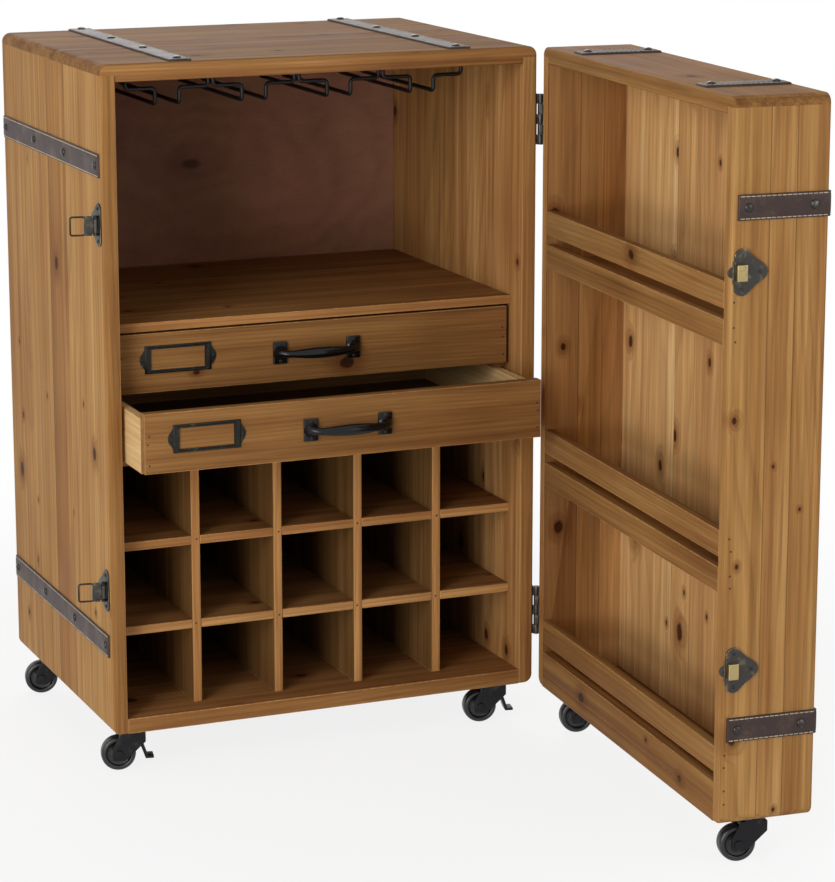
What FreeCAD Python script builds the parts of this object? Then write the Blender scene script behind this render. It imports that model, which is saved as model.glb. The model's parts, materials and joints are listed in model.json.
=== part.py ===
import FreeCAD, Part
import os
from types import SimpleNamespace

import Sketcher
from FreeCAD import Placement, Rotation, Vector

# A wine cabinet built like a travelling trunk: a carcass with a wine rack, two drawers and a
# stemware rack, and a deep door with bottle shelves. All of it stands on six swivel casters.
# Millimetres. X points right, Y points back and Z points up. The origin is on the floor under the
# middle of the carcass. The door stands open and the lower drawer is pulled out.

# Driving dimensions
SIZES = {
    # Carcass
    "cabinet_width": 560,
    "cabinet_depth": 420,
    "body_height": 814,
    "side_board": 19,
    "top_thickness": 21,
    "top_rebate": 8,
    "bottom_thickness": 19,
    "back_thickness": 6,
    "corner_round": 11,
    "edge_ease": 3,
    "front_recess": 33,
    # Wine rack
    "rack_board": 11,
    "rack_row": 95,
    "rack_slot_play": 0.4,
    # Drawers
    "drawer_front_height": 72.5,
    "drawer_front_thickness": 14,
    "drawer_front_gap": 2.5,
    "drawer_front_lift": 2,
    "drawer_side_gap": 5,
    "drawer_side_board": 10,
    "drawer_runner_play": 0.3,
    "drawer_length": 350,
    "drawer_bottom_board": 5,
    "drawer_bottom_lift": 6,
    "lower_drawer_pull": 103,
    "runner_width": 16,
    "runner_height": 7,
    "runner_length": 320,
    # Drawer pulls and card holders
    "pull_width": 96,
    "pull_reach": 24,
    "pull_bar_radius": 4.5,
    "pull_bend": 12,
    "pull_foot_width": 18,
    "pull_foot_height": 28,
    "pull_foot_thickness": 2.5,
    "card_width": 72,
    "card_height": 34,
    "card_rim": 5,
    "card_lip": 3,
    "card_thickness": 2,
    "card_inset": 41,
    "card_ear_radius": 10,
    "card_rise": 4,
    # Stemware rack
    "stem_wire_radius": 2.5,
    "stem_wire_bend": 5,
    "stem_slot": 31,
    "stem_pitch": 111,
    "stem_arm": 37,
    "stem_arm_drop": 20,
    "stem_rail_drop": 39,
    "stem_setback": 95,
    "stem_length": 240,
    # Straps and their nails
    "strap_width": 28,
    "strap_thickness": 2.5,
    "strap_end": 6,
    "strap_upper_height": 695,
    "strap_lower_height": 111,
    "top_strap_inset": 101,
    "nail_radius": 4.5,
    "nail_tip_radius": 2.5,
    "nail_height": 1.8,
    "nail_margin": 18,
    # Door
    "door_gap": 2.2,
    "door_depth": 114,
    "door_side_board": 17.5,
    "door_top_thickness": 20,
    "door_bottom_thickness": 17,
    "door_panel_thickness": 10,
    "door_shelf_board": 11,
    "door_rail_thickness": 11,
    "fascia_height": 29,
    "rail_slot": 12,
    "guard_height": 30,
    "middle_shelf_height": 265,
    "upper_shelf_height": 542,
    "door_open_angle": 86,
    # Hinges
    "hinge_length": 63,
    "hinge_upper_drop": 90,
    "hinge_lower_height": 96,
    "hinge_leaf_thickness": 1.5,
    "hinge_leaf_width": 17,
    "hinge_leaf_play": 0.6,
    "hinge_axis_offset": 4.5,
    "hinge_barrel_radius": 3.6,
    "hinge_pin_radius": 2,
    "hinge_knuckle_play": 0.4,
    "running_play": 0.05,
    # Latches
    "latch_upper_height": 625,
    "latch_lower_height": 180,
    "latch_plate_height": 52,
    "latch_plate_length": 36,
    "latch_plate_nose": 20,
    "latch_plate_thickness": 2,
    "latch_plate_round": 6,
    "latch_plate_setback": 3,
    "latch_axis_setback": 9,
    "latch_axis_offset": 5.5,
    "latch_barrel_radius": 3.2,
    "latch_pin_radius": 1.5,
    "latch_lug_length": 3.5,
    "hasp_height": 24,
    "hasp_length": 31.3,
    "hasp_thickness": 2,
    "hasp_bar": 2.3,
    "hasp_window": 14.8,
    "hasp_open_angle": 100,
    "hook_height": 18,
    "hook_length": 12,
    "hook_reach": 6.5,
    "hook_setback": 4,
    "tongue_radius": 6,
    "tongue_reach": 5,
    # Casters
    "caster_height": 58,
    "caster_inset_side": 37,
    "caster_inset_front": 41,
    "caster_trail": 18,
    "caster_turn_angle": -12,
    "caster_plate_width": 40,
    "caster_plate_thickness": 3,
    "swivel_play": 0.3,
    "kingpin_radius": 5,
    "fork_head_radius": 15,
    "fork_head_thickness": 6,
    "fork_bridge": 3.7,
    "fork_leg_thickness": 2.5,
    "fork_leg_play": 0.8,
    "fork_leg_reach": 8,
    "wheel_radius": 21.5,
    "wheel_width": 18,
    "wheel_rim": 6,
    "wheel_web": 11,
    "wheel_hub_radius": 7,
    "wheel_round": 2.5,
    "axle_radius": 3,
    "axle_head_radius": 5,
    "axle_head_thickness": 1.5,
    "brake_pin_radius": 2,
    "brake_pin_forward": 3,
    "brake_pin_height": 40,
    "brake_boss_radius": 4,
    "brake_shoe_play": 0.4,
    "brake_arm_length": 22,
    "brake_arm_drop": 26,
    "brake_thickness": 3,
    "brake_toe": 10,
    "brake_leg_play": 1,
    # One overrun for every cut that goes right through
    "overrun": 5,
}

# How many of each there are
RACK_ROWS = 3
RACK_COLUMNS = 5
DRAWERS = 2
STEM_SLOTS = 4
CARCASS_NAILS = 4
DOOR_NAILS = 2
FACE_NAILS = 5

doc = FreeCAD.newDocument("wine_cabinet")
sheet = doc.addObject("Spreadsheet::Sheet", "dims")
for row, (alias, number) in enumerate(SIZES.items(), start=1):
    sheet.set(f"A{row}", alias)
    sheet.set(f"B{row}", str(number))
    sheet.setAlias(f"B{row}", alias)
doc.recompute()


def formula_of(item):
    """The formula of a size, or a plain number as it is written."""
    return item.formula if isinstance(item, Size) else repr(item)


class Size:
    """A length with its formula on the sheet, so that one sum both binds a feature and places it."""

    def __init__(self, formula, value):
        self.formula = formula
        self.value = value

    def __float__(self):
        return float(self.value)

    def __add__(self, other):
        return Size(f"({self.formula} + {formula_of(other)})", self.value + float(other))

    def __sub__(self, other):
        return Size(f"({self.formula} - {formula_of(other)})", self.value - float(other))

    def __mul__(self, other):
        return Size(f"({self.formula} * {formula_of(other)})", self.value * float(other))

    def __truediv__(self, other):
        return Size(f"({self.formula} / {formula_of(other)})", self.value / float(other))

    def __neg__(self):
        return Size(f"(0 - {self.formula})", -self.value)

    __rmul__ = __mul__


dim = SimpleNamespace(**{alias: Size(f"dims.{alias}", sheet.get(alias)) for alias in SIZES})
zero = dim.overrun - dim.overrun

# Helpers that make and place pieces

UPRIGHT = Rotation(Vector(1, 0, 0), 90)
HERE = Placement()
AXIS_Z = Vector(0, 0, 1)
DIAGONAL_SHARE = 0.5 ** 0.5
TOLERANCE = 1e-6
nodes = {}


def vector(x, y, z):
    return Vector(float(x), float(y), float(z))


def place(x, y, z, rotation=Rotation()):
    return Placement(vector(x, y, z), rotation)


def turned(centre, angle):
    """A turn about the upright axis through a point."""
    return Placement(Vector(), Rotation(AXIS_Z, float(angle)), centre)


def node(label, piece):
    """Keeps a finished piece as a named sub-part."""
    piece.Label = label
    nodes[label] = piece
    return piece


def bind(piece, **sizes):
    for name, size in sizes.items():
        piece.setExpression(name, size.formula)
    return piece


def block(name, size, corner, frame=HERE):
    """A square-edged board, from its lowest corner."""
    piece = bind(doc.addObject("Part::Box", name), Length=size[0], Width=size[1], Height=size[2])
    piece.Placement = frame * place(*corner)
    return piece


def rod(name, radius, length, start, frame=HERE, rotation=Rotation()):
    """A round bar that starts at a point and runs along its own Z axis."""
    piece = bind(doc.addObject("Part::Cylinder", name), Radius=radius, Height=length)
    piece.Placement = frame * place(*start, rotation)
    return piece


def fuse(name, pieces):
    piece = doc.addObject("Part::MultiFuse", name)
    piece.Shapes = pieces
    piece.Refine = True
    return piece


def cut(name, base, tools):
    piece = doc.addObject("Part::Cut", name)
    piece.Base = base
    piece.Tool = tools[0] if len(tools) == 1 else fuse(name + "_tools", tools)
    return piece


def group(name, pieces):
    piece = doc.addObject("Part::Compound", name)
    piece.Links = pieces
    return piece


def origin_plane(body, role):
    return next(feature for feature in body.Origin.OriginFeatures if feature.Role == role)


def sketch_outline(sketch, points):
    """Draws a closed outline and binds each corner to its formulas."""
    corners = [vector(x, y, 0) for x, y in points]
    for i, corner in enumerate(corners):
        sketch.addGeometry(Part.LineSegment(corner, corners[(i + 1) % len(corners)]), False)
    for i in range(len(corners)):
        sketch.addConstraint(Sketcher.Constraint("Coincident", i, 2, (i + 1) % len(corners), 1))
    for i, (x, y) in enumerate(points):
        for kind, size in (("DistanceX", x), ("DistanceY", y)):
            index = sketch.addConstraint(Sketcher.Constraint(kind, -1, 1, i, 1, float(size)))
            sketch.setExpression(f"Constraints[{index}]", size.formula)


def outline_body(name, points):
    """A new body with a bound outline on its XY plane."""
    body = doc.addObject("PartDesign::Body", name)
    sketch = body.newObject("Sketcher::SketchObject", name + "_outline")
    sketch.AttachmentSupport = [(origin_plane(body, "XY_Plane"), "")]
    sketch.MapMode = "FlatFace"
    sketch_outline(sketch, points)
    return body, sketch


def round_edges(body, name, radius, wanted):
    """Rounds the edges of a body that a test picks."""
    doc.recompute()
    rough = body.Tip
    edges = [f"Edge{i}" for i, edge in enumerate(rough.Shape.Edges, start=1) if wanted(edge)]
    fillet = body.newObject("PartDesign::Fillet", name)
    fillet.Base = (rough, edges)
    bind(fillet, Radius=radius)
    doc.recompute()


def same(a, b):
    return abs(a - b) < TOLERANCE


def upright_edge_at(points):
    """Picks the edges along the pad that stand on given outline points."""
    spots = [(float(x), float(y)) for x, y in points]

    def wanted(edge):
        first, last = edge.Vertexes[0].Point, edge.Vertexes[-1].Point
        along = same(first.x, last.x) and same(first.y, last.y) and not same(first.z, last.z)
        return along and any(same(first.x, x) and same(first.y, y) for x, y in spots)

    return wanted


def plate(name, points, thickness, frame, round_at=(), radius=None):
    """An outline raised to a thickness, with some of its corners rounded."""
    body, sketch = outline_body(name, points)
    pad = body.newObject("PartDesign::Pad", name + "_pad")
    pad.Profile = sketch
    bind(pad, Length=thickness)
    if round_at:
        round_edges(body, name + "_round", radius, upright_edge_at(round_at))
    body.Placement = frame
    return body


def rectangle(width, height):
    return [(zero, zero), (width, zero), (width, height), (zero, height)]


def ease_ends(body, name, length, kept_side):
    """Eases the outline at both ends of a pad, but for the side that meets another board."""

    def wanted(edge):
        box = edge.BoundBox
        at_end = same(box.ZMin, box.ZMax) and (same(box.ZMin, 0) or same(box.ZMin, float(length)))
        return at_end and not kept_side(box)

    round_edges(body, name, dim.edge_ease, wanted)


# Places that many pieces share

half_width = dim.cabinet_width / 2
front = -dim.cabinet_depth / 2
back = dim.cabinet_depth / 2
base = dim.caster_height
body_top = base + dim.body_height
ceiling = body_top - dim.top_thickness
inner_width = dim.cabinet_width - 2 * dim.side_board
inner_left = dim.side_board - half_width
inner_front = front + dim.front_recess
inner_depth = dim.cabinet_depth - dim.front_recess - dim.back_thickness
floor_top = base + dim.bottom_thickness
rack_pitch = dim.rack_row + dim.rack_board
rack_height = RACK_ROWS * rack_pitch - dim.rack_board
rack_top = floor_top + RACK_ROWS * rack_pitch
drawer_pitch = dim.drawer_front_height + dim.drawer_front_gap
shelf_bottom = rack_top + DRAWERS * drawer_pitch + dim.drawer_front_lift

hinge_x = half_width + dim.hinge_axis_offset
hinge_y = front - dim.door_gap / 2
barrel_room = dim.hinge_barrel_radius + dim.hinge_leaf_play
hinge_leaf_end = hinge_y + barrel_room + dim.hinge_leaf_width
DOOR = turned(vector(hinge_x, hinge_y, zero), dim.door_open_angle)
LOWER_DRAWER = place(zero, -dim.lower_drawer_pull, zero)

# Carcass


def capped_board(name, width, thickness, depth, wall, frame):
    """A top board with rounded upper long edges and eased ends, rebated to sit over two side boards."""
    rebate = dim.top_rebate
    inner = width - wall
    under = [(wall, zero), (inner, zero), (inner, rebate), (width, rebate)]
    upper = [(width, thickness), (zero, thickness)]
    corners = under + upper + [(zero, rebate), (wall, rebate)]
    body = plate(name, corners, depth, frame, upper, dim.corner_round)
    ease_ends(body, name + "_ease", depth, lambda box: box.YMax < float(rebate) + TOLERANCE)
    return body


def side_panel(name, thickness, height, depth, frame, outer_x):
    """A side board with a rounded lower outer edge and eased outer ends."""
    outer = thickness if outer_x > 0 else zero
    inner_x = 0 if outer_x > 0 else float(thickness)
    body = plate(name, rectangle(thickness, height), depth, frame, [(outer, zero)], dim.corner_round)

    def meets_board(box):
        flat_top = same(box.YMin, float(height))
        return flat_top or (same(box.XMin, inner_x) and same(box.XMax, inner_x))

    ease_ends(body, name + "_ease", depth, meets_board)
    return body


def make_carcass():
    side_height = dim.body_height - dim.top_thickness + dim.top_rebate
    for name, x, outer in (("left_side", -half_width, -1), ("right_side", half_width - dim.side_board, 1)):
        frame = place(x, back, base, UPRIGHT)
        node(name, side_panel(name, dim.side_board, side_height, dim.cabinet_depth, frame, outer))
    top_frame = place(-half_width, back, ceiling, UPRIGHT)
    top_size = (dim.cabinet_width, dim.top_thickness, dim.cabinet_depth, dim.side_board)
    node("top_board", capped_board("top_board", *top_size, top_frame))
    bottom = (inner_width, dim.cabinet_depth, dim.bottom_thickness)
    node("bottom_board", block("bottom_board", bottom, (inner_left, front, base)))
    back_size = (inner_width, dim.back_thickness, ceiling - floor_top)
    node("back_panel", block("back_panel", back_size, (inner_left, back - dim.back_thickness, floor_top)))
    board = (inner_width, inner_depth, dim.rack_board)
    node("rack_top", block("rack_top", board, (inner_left, inner_front, rack_top - dim.rack_board)))
    node("drawer_shelf", block("drawer_shelf", board, (inner_left, inner_front, shelf_bottom)))


# Wine rack: shelves slotted from the front, dividers slotted from the back, crossing half and half


def make_rack():
    column = (inner_width - (RACK_COLUMNS - 1) * dim.rack_board) / RACK_COLUMNS
    half_depth = inner_depth / 2
    slot = dim.rack_board + dim.rack_slot_play
    divider_x = [inner_left + i * column + (i - 1) * dim.rack_board for i in range(1, RACK_COLUMNS)]
    shelf_z = [floor_top + i * rack_pitch - dim.rack_board for i in range(1, RACK_ROWS)]
    shelves = []
    for i, z in enumerate(shelf_z, start=1):
        name = f"rack_shelf_{i}"
        blank_size = (inner_width, inner_depth, dim.rack_board)
        blank = block(name + "_blank", blank_size, (inner_left, inner_front, z))
        slots = [
            block(
                f"{name}_slot_{j}",
                (slot, half_depth + dim.overrun, dim.rack_board + 2 * dim.overrun),
                (x - dim.rack_slot_play / 2, inner_front - dim.overrun, z - dim.overrun),
            )
            for j, x in enumerate(divider_x)
        ]
        shelves.append(cut(name, blank, slots))
    node("rack_shelves", group("rack_shelves", shelves))
    for i, x in enumerate(divider_x, start=1):
        name = f"rack_divider_{i}"
        blank_size = (dim.rack_board, inner_depth, rack_height)
        blank = block(name + "_blank", blank_size, (x, inner_front, floor_top))
        slots = [
            block(
                f"{name}_slot_{j}",
                (dim.rack_board + 2 * dim.overrun, half_depth + dim.overrun, slot),
                (x - dim.overrun, inner_front + half_depth, z - dim.rack_slot_play / 2),
            )
            for j, z in enumerate(shelf_z)
        ]
        node(name, cut(name, blank, slots))


# Drawers with their pulls and card holders

drawer_width = inner_width - 2 * dim.drawer_side_gap
drawer_left = inner_left + dim.drawer_side_gap
drawer_side_height = drawer_pitch - dim.runner_height - dim.drawer_runner_play
pull_middle_share = 0.5


def pull_handle(name, frame):
    """A bow pull: a round bar bent out of two screwed feet. Its frame is on the drawer's face."""
    body = doc.addObject("PartDesign::Body", name)
    half = dim.pull_width / 2
    reach = dim.pull_reach - dim.pull_bar_radius
    path = body.newObject("Sketcher::SketchObject", name + "_path")
    path.AttachmentSupport = [(origin_plane(body, "XY_Plane"), "")]
    path.MapMode = "FlatFace"
    bend = float(dim.pull_bend)
    a = vector(-half, zero, zero)
    b = vector(-half, -reach + dim.pull_bend, zero)
    c = vector(-half + dim.pull_bend, -reach, zero)
    d = vector(half - dim.pull_bend, -reach, zero)
    e = vector(half, -reach + dim.pull_bend, zero)
    f = vector(half, zero, zero)
    elbow = bend - bend * DIAGONAL_SHARE
    path.addGeometry(Part.LineSegment(a, b), False)
    path.addGeometry(Part.Arc(b, Vector(a.x + elbow, c.y + elbow, 0), c), False)
    path.addGeometry(Part.LineSegment(c, d), False)
    path.addGeometry(Part.Arc(d, Vector(f.x - elbow, c.y + elbow, 0), e), False)
    path.addGeometry(Part.LineSegment(e, f), False)
    section = body.newObject("Sketcher::SketchObject", name + "_section")
    section.AttachmentSupport = [(origin_plane(body, "XZ_Plane"), "")]
    section.MapMode = "FlatFace"
    section.addGeometry(Part.Circle(Vector(a.x, 0, 0), AXIS_Z, float(dim.pull_bar_radius)), False)
    section.addConstraint(Sketcher.Constraint("Radius", 0, float(dim.pull_bar_radius)))
    section.setExpression("Constraints[0]", dim.pull_bar_radius.formula)
    bar = body.newObject("PartDesign::AdditivePipe", name + "_bar")
    bar.Profile = section
    bar.Spine = path
    bar.Mode = "Frenet"
    body.Placement = frame
    feet = [
        block(
            f"{name}_foot_{i}",
            (dim.pull_foot_width, dim.pull_foot_thickness, dim.pull_foot_height),
            (x - dim.pull_foot_width / 2, -dim.pull_foot_thickness, -dim.pull_foot_height / 2),
            frame,
        )
        for i, x in enumerate((-half, half))
    ]
    return fuse(name + "_whole", [body] + feet)


def card_holder(name, frame):
    """A thin open frame for a card, with a screw ear at each end. Its frame is on the drawer's face."""
    upright = frame * Placement(Vector(), UPRIGHT)
    corners = rectangle(dim.card_width, dim.card_height)
    rim = plate(name + "_rim", corners, dim.card_thickness, upright, corners, dim.card_lip)
    ears = []
    for i, x in enumerate((zero, dim.card_width)):
        ear_start = (x, zero, dim.card_height / 2)
        ear_size = (dim.card_ear_radius, dim.card_thickness)
        ears.append(rod(f"{name}_ear_{i}", *ear_size, ear_start, frame, UPRIGHT))
    window = block(
        name + "_window",
        (
            dim.card_width - 2 * dim.card_rim - 2 * dim.card_lip,
            dim.card_thickness + 2 * dim.overrun,
            dim.card_height - 2 * dim.card_lip,
        ),
        (dim.card_rim + dim.card_lip, -dim.card_thickness - dim.overrun, dim.card_lip),
        frame,
    )
    return cut(name, fuse(name + "_solid", [rim] + ears), [window])


def make_drawer(name, support, frame):
    """A drawer in its closed place, standing on a support height, then moved by its frame."""
    face_y = inner_front
    side_y = face_y + dim.drawer_front_thickness
    side_length = dim.drawer_length - dim.drawer_front_thickness
    front_z = support + dim.drawer_front_lift
    front_size = (drawer_width, dim.drawer_front_thickness, dim.drawer_front_height)
    node(name + "_front", block(name + "_front", front_size, (drawer_left, face_y, front_z), frame))
    side = (dim.drawer_side_board, side_length, drawer_side_height)
    right_x = drawer_left + drawer_width - dim.drawer_side_board
    between = drawer_width - 2 * dim.drawer_side_board
    back_y = face_y + dim.drawer_length - dim.drawer_side_board
    boards = [
        block(name + "_left", side, (drawer_left, side_y, support), frame),
        block(name + "_right", side, (right_x, side_y, support), frame),
        block(
            name + "_back",
            (between, dim.drawer_side_board, drawer_side_height),
            (drawer_left + dim.drawer_side_board, back_y, support),
            frame,
        ),
    ]
    node(name + "_box", group(name + "_box", boards))
    bottom = (between, side_length - dim.drawer_side_board, dim.drawer_bottom_board)
    bottom_corner = (drawer_left + dim.drawer_side_board, side_y, support + dim.drawer_bottom_lift)
    node(name + "_bottom", block(name + "_bottom", bottom, bottom_corner, frame))
    middle_z = front_z + dim.drawer_front_height * pull_middle_share
    pull_frame = frame * place(zero, face_y, middle_z)
    node(name + "_pull", pull_handle(name + "_pull", pull_frame))
    card_z = middle_z - dim.card_height / 2 + dim.card_rise
    card_frame = frame * place(drawer_left + dim.card_inset, face_y, card_z)
    node(name + "_card_holder", card_holder(name + "_card_holder", card_frame))


def make_drawers():
    make_drawer("upper_drawer", rack_top + drawer_pitch, HERE)
    make_drawer("lower_drawer", rack_top, LOWER_DRAWER)
    runner = (dim.runner_width, dim.runner_length, dim.runner_height)
    runner_y = inner_front + dim.drawer_front_thickness + dim.drawer_front_gap
    runner_z = rack_top + drawer_pitch - dim.runner_height
    runner_x = (inner_left, -inner_left - dim.runner_width)
    runners = [block(f"runner_{i}", runner, (x, runner_y, runner_z)) for i, x in enumerate(runner_x)]
    node("drawer_runners", group("drawer_runners", runners))


# Stemware rack: bent wires in pairs, each pair a slot for stems


def bent_wire(points, radius, bend):
    """A round wire along straight runs joined by tangent arcs."""
    edges = []
    start = points[0]
    for before, corner, after in zip(points, points[1:], points[2:]):
        inward = (before - corner).normalize()
        outward = (after - corner).normalize()
        first = corner + inward * bend
        last = corner + outward * bend
        middle = corner + (inward + outward) * (bend * (1 - DIAGONAL_SHARE))
        edges.append(Part.LineSegment(start, first).toShape())
        edges.append(Part.Arc(first, middle, last).toShape())
        start = last
    edges.append(Part.LineSegment(start, points[-1]).toShape())
    along = points[1] - points[0]
    ring = Part.Wire(Part.Circle(points[0], along, radius).toShape())
    return Part.Wire(edges).makePipeShell([ring], True, True)


def make_stemware_rack():
    near = front + dim.stem_setback
    far = near + dim.stem_length
    arm_z = ceiling - dim.stem_arm_drop
    rail_z = ceiling - dim.stem_rail_drop
    wires = []
    for i in range(STEM_SLOTS):
        middle = dim.stem_pitch * (i - (STEM_SLOTS - 1) / 2)
        for side in (-1, 1):
            rail_x = middle + dim.stem_slot * (side / 2)
            arm_x = rail_x + dim.stem_arm * side
            half_path = [(arm_x, ceiling), (arm_x, arm_z), (rail_x, arm_z), (rail_x, rail_z)]
            points = [vector(x, near, z) for x, z in half_path]
            points += [vector(x, far, z) for x, z in reversed(half_path)]
            wires.append(bent_wire(points, float(dim.stem_wire_radius), float(dim.stem_wire_bend)))
    rack = doc.addObject("Part::Feature", "stemware_rack")
    rack.Shape = Part.makeCompound(wires)
    node("stemware_rack", rack)


# Leather straps and their nails


def nail(name, x, y, z, frame, rotation):
    piece = bind(
        doc.addObject("Part::Cone", name),
        Radius1=dim.nail_radius,
        Radius2=dim.nail_tip_radius,
        Height=dim.nail_height,
    )
    piece.Placement = frame * place(x, y, z, rotation)
    return piece


def spread(first, last, count):
    return [first + (last - first) * (i / (count - 1)) for i in range(count)]


FACING_LEFT = Rotation(Vector(0, 1, 0), -90)
FACING_RIGHT = Rotation(Vector(0, 1, 0), 90)


def side_strap(name, side, height, near, far, nail_count, frame):
    """A strap along a side face, and its nails. The side is -1 for the left face and 1 for the right."""
    face = half_width * side
    strap_x = face if side > 0 else face - dim.strap_thickness
    z = base + height
    size = (dim.strap_thickness, far - near - 2 * dim.strap_end, dim.strap_width)
    strap = block(name, size, (strap_x, near + dim.strap_end, z - dim.strap_width / 2), frame)
    head_x = face + dim.strap_thickness * side
    facing = FACING_RIGHT if side > 0 else FACING_LEFT
    nails = [
        nail(f"{name}_nail_{i}", head_x, y, z, frame, facing)
        for i, y in enumerate(spread(near + dim.nail_margin, far - dim.nail_margin, nail_count))
    ]
    return strap, nails


def top_strap(name, x, near, far, nail_count, frame):
    """A strap across a top board, and its nails."""
    size = (dim.strap_width, far - near - 2 * dim.strap_end, dim.strap_thickness)
    strap = block(name, size, (x - dim.strap_width / 2, near + dim.strap_end, body_top), frame)
    nails = [
        nail(f"{name}_nail_{i}", x, y, body_top + dim.strap_thickness, frame, Rotation())
        for i, y in enumerate(spread(near + dim.nail_margin, far - dim.nail_margin, nail_count))
    ]
    return strap, nails


door_rim = front - dim.door_gap
door_face = door_rim - dim.door_depth
top_strap_x = half_width - dim.top_strap_inset
STRAP_HEIGHTS = (("upper", dim.strap_upper_height), ("lower", dim.strap_lower_height))


def wrapped_strap(name, height):
    """A door strap along the free side that turns the corner and runs on across the outer face."""
    side, nails = side_strap(name + "_side", -1, height, door_face, door_rim, DOOR_NAILS, DOOR)
    z = base + height
    low = z - dim.strap_width / 2
    outer_x = -half_width - dim.strap_thickness
    outer_y = door_face - dim.strap_thickness
    corner_size = (dim.strap_thickness, dim.strap_end, dim.strap_width)
    corner = block(name + "_corner", corner_size, (outer_x, door_face, low), DOOR)
    face_length = dim.cabinet_width + dim.strap_thickness - dim.strap_end
    face_size = (face_length, dim.strap_thickness, dim.strap_width)
    face = block(name + "_face", face_size, (outer_x, outer_y, low), DOOR)
    reach = half_width - dim.nail_margin
    for i, x in enumerate(spread(-reach, reach, FACE_NAILS)):
        nails.append(nail(f"{name}_face_nail_{i}", x, outer_y, z, DOOR, UPRIGHT))
    return fuse(name, [side, corner, face]), nails


def make_straps():
    carcass = [
        side_strap(f"{where}_strap_{side}", side, height, near, back, CARCASS_NAILS, HERE)
        for where, height in STRAP_HEIGHTS
        for side, near in ((-1, front), (1, hinge_leaf_end))
    ]
    for i, x in enumerate((-top_strap_x, top_strap_x)):
        carcass.append(top_strap(f"top_strap_{i}", x, front, back, CARCASS_NAILS, HERE))
    door = [wrapped_strap(f"door_{where}_strap", height) for where, height in STRAP_HEIGHTS]
    door += [
        top_strap(f"door_top_strap_{i}", x, door_face, door_rim, DOOR_NAILS, DOOR)
        for i, x in enumerate((-top_strap_x, top_strap_x))
    ]
    for prefix, pairs in (("", carcass), ("door_", door)):
        node(prefix + "straps", group(prefix + "straps", [strap for strap, _ in pairs]))
        heads = [head for _, nails in pairs for head in nails]
        node(prefix + "strap_nails", group(prefix + "strap_nails", heads))


# Door: a shallow box with shelves, fascias and guard rails


def make_door():
    wall = dim.door_side_board
    side_height = dim.body_height - dim.door_top_thickness + dim.top_rebate
    top_z = body_top - dim.door_top_thickness
    for name, x, outer in (("door_free_side", -half_width, -1), ("door_hinge_side", half_width - wall, 1)):
        frame = DOOR * place(x, door_rim, base, UPRIGHT)
        node(name, side_panel(name, wall, side_height, dim.door_depth, frame, outer))
    top_frame = DOOR * place(-half_width, door_rim, top_z, UPRIGHT)
    top_size = (dim.cabinet_width, dim.door_top_thickness, dim.door_depth, wall)
    node("door_top", capped_board("door_top", *top_size, top_frame))
    width = dim.cabinet_width - 2 * wall
    left = wall - half_width
    bottom_size = (width, dim.door_depth, dim.door_bottom_thickness)
    node("door_bottom", block("door_bottom", bottom_size, (left, door_face, base), DOOR))
    bottom_top = base + dim.door_bottom_thickness
    panel_size = (width, dim.door_panel_thickness, top_z - bottom_top)
    node("door_panel", block("door_panel", panel_size, (left, door_face, bottom_top), DOOR))
    rail_y = door_rim - dim.door_rail_thickness
    shelf_y = door_face + dim.door_panel_thickness
    shelf_size = (width, rail_y - shelf_y, dim.door_shelf_board)
    fascia_z = [bottom_top, base + dim.middle_shelf_height, base + dim.upper_shelf_height]
    shelves = [
        block(f"door_shelf_{i}", shelf_size, (left, shelf_y, z), DOOR)
        for i, z in enumerate(fascia_z[1:], start=1)
    ]
    node("door_shelves", group("door_shelves", shelves))
    fascia_size = (width, dim.door_rail_thickness, dim.fascia_height)
    guard_size = (width, dim.door_rail_thickness, dim.guard_height)
    fascias = []
    for i, z in enumerate(fascia_z):
        fascias.append(block(f"door_fascia_{i}", fascia_size, (left, rail_y, z), DOOR))
    guards = [
        block(f"door_guard_{i}", guard_size, (left, rail_y, z + dim.fascia_height + dim.rail_slot), DOOR)
        for i, z in enumerate(fascia_z)
    ]
    node("door_fascias", group("door_fascias", fascias))
    node("door_guard_rails", group("door_guard_rails", guards))


# Hinges on the right faces: the carcass leaf has three knuckles, the door leaf the two between them

HINGE_HEIGHTS = (("upper", dim.body_height - dim.hinge_upper_drop), ("lower", dim.hinge_lower_height))
CARCASS_KNUCKLES = (0, 2, 4)
DOOR_KNUCKLES = (1, 3)
knuckle = dim.hinge_length / (len(CARCASS_KNUCKLES) + len(DOOR_KNUCKLES))


def hinge_leaf(name, middle_z, leaf_y, tongue_y, starts, frame):
    """A leaf on the right face, its tongues in under the barrel, and its knuckles with their bore."""
    low = middle_z - dim.hinge_length / 2
    leaf_size = (dim.hinge_leaf_thickness, dim.hinge_leaf_width, dim.hinge_length)
    pieces = [block(name + "_leaf", leaf_size, (half_width, leaf_y, low), frame)]
    length = knuckle - dim.hinge_knuckle_play
    tongue_size = (dim.hinge_leaf_thickness, barrel_room, length)
    for i in starts:
        z = low + i * knuckle + dim.hinge_knuckle_play / 2
        pieces.append(block(f"{name}_tongue_{i}", tongue_size, (half_width, tongue_y, z), frame))
        barrel_start = (hinge_x, hinge_y, z)
        pieces.append(rod(f"{name}_barrel_{i}", dim.hinge_barrel_radius, length, barrel_start, frame))
    bore_radius = dim.hinge_pin_radius + dim.running_play
    bore_length = dim.hinge_length + 2 * dim.overrun
    bore = rod(name + "_bore", bore_radius, bore_length, (hinge_x, hinge_y, low - dim.overrun), frame)
    return cut(name, fuse(name + "_solid", pieces), [bore])


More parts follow.
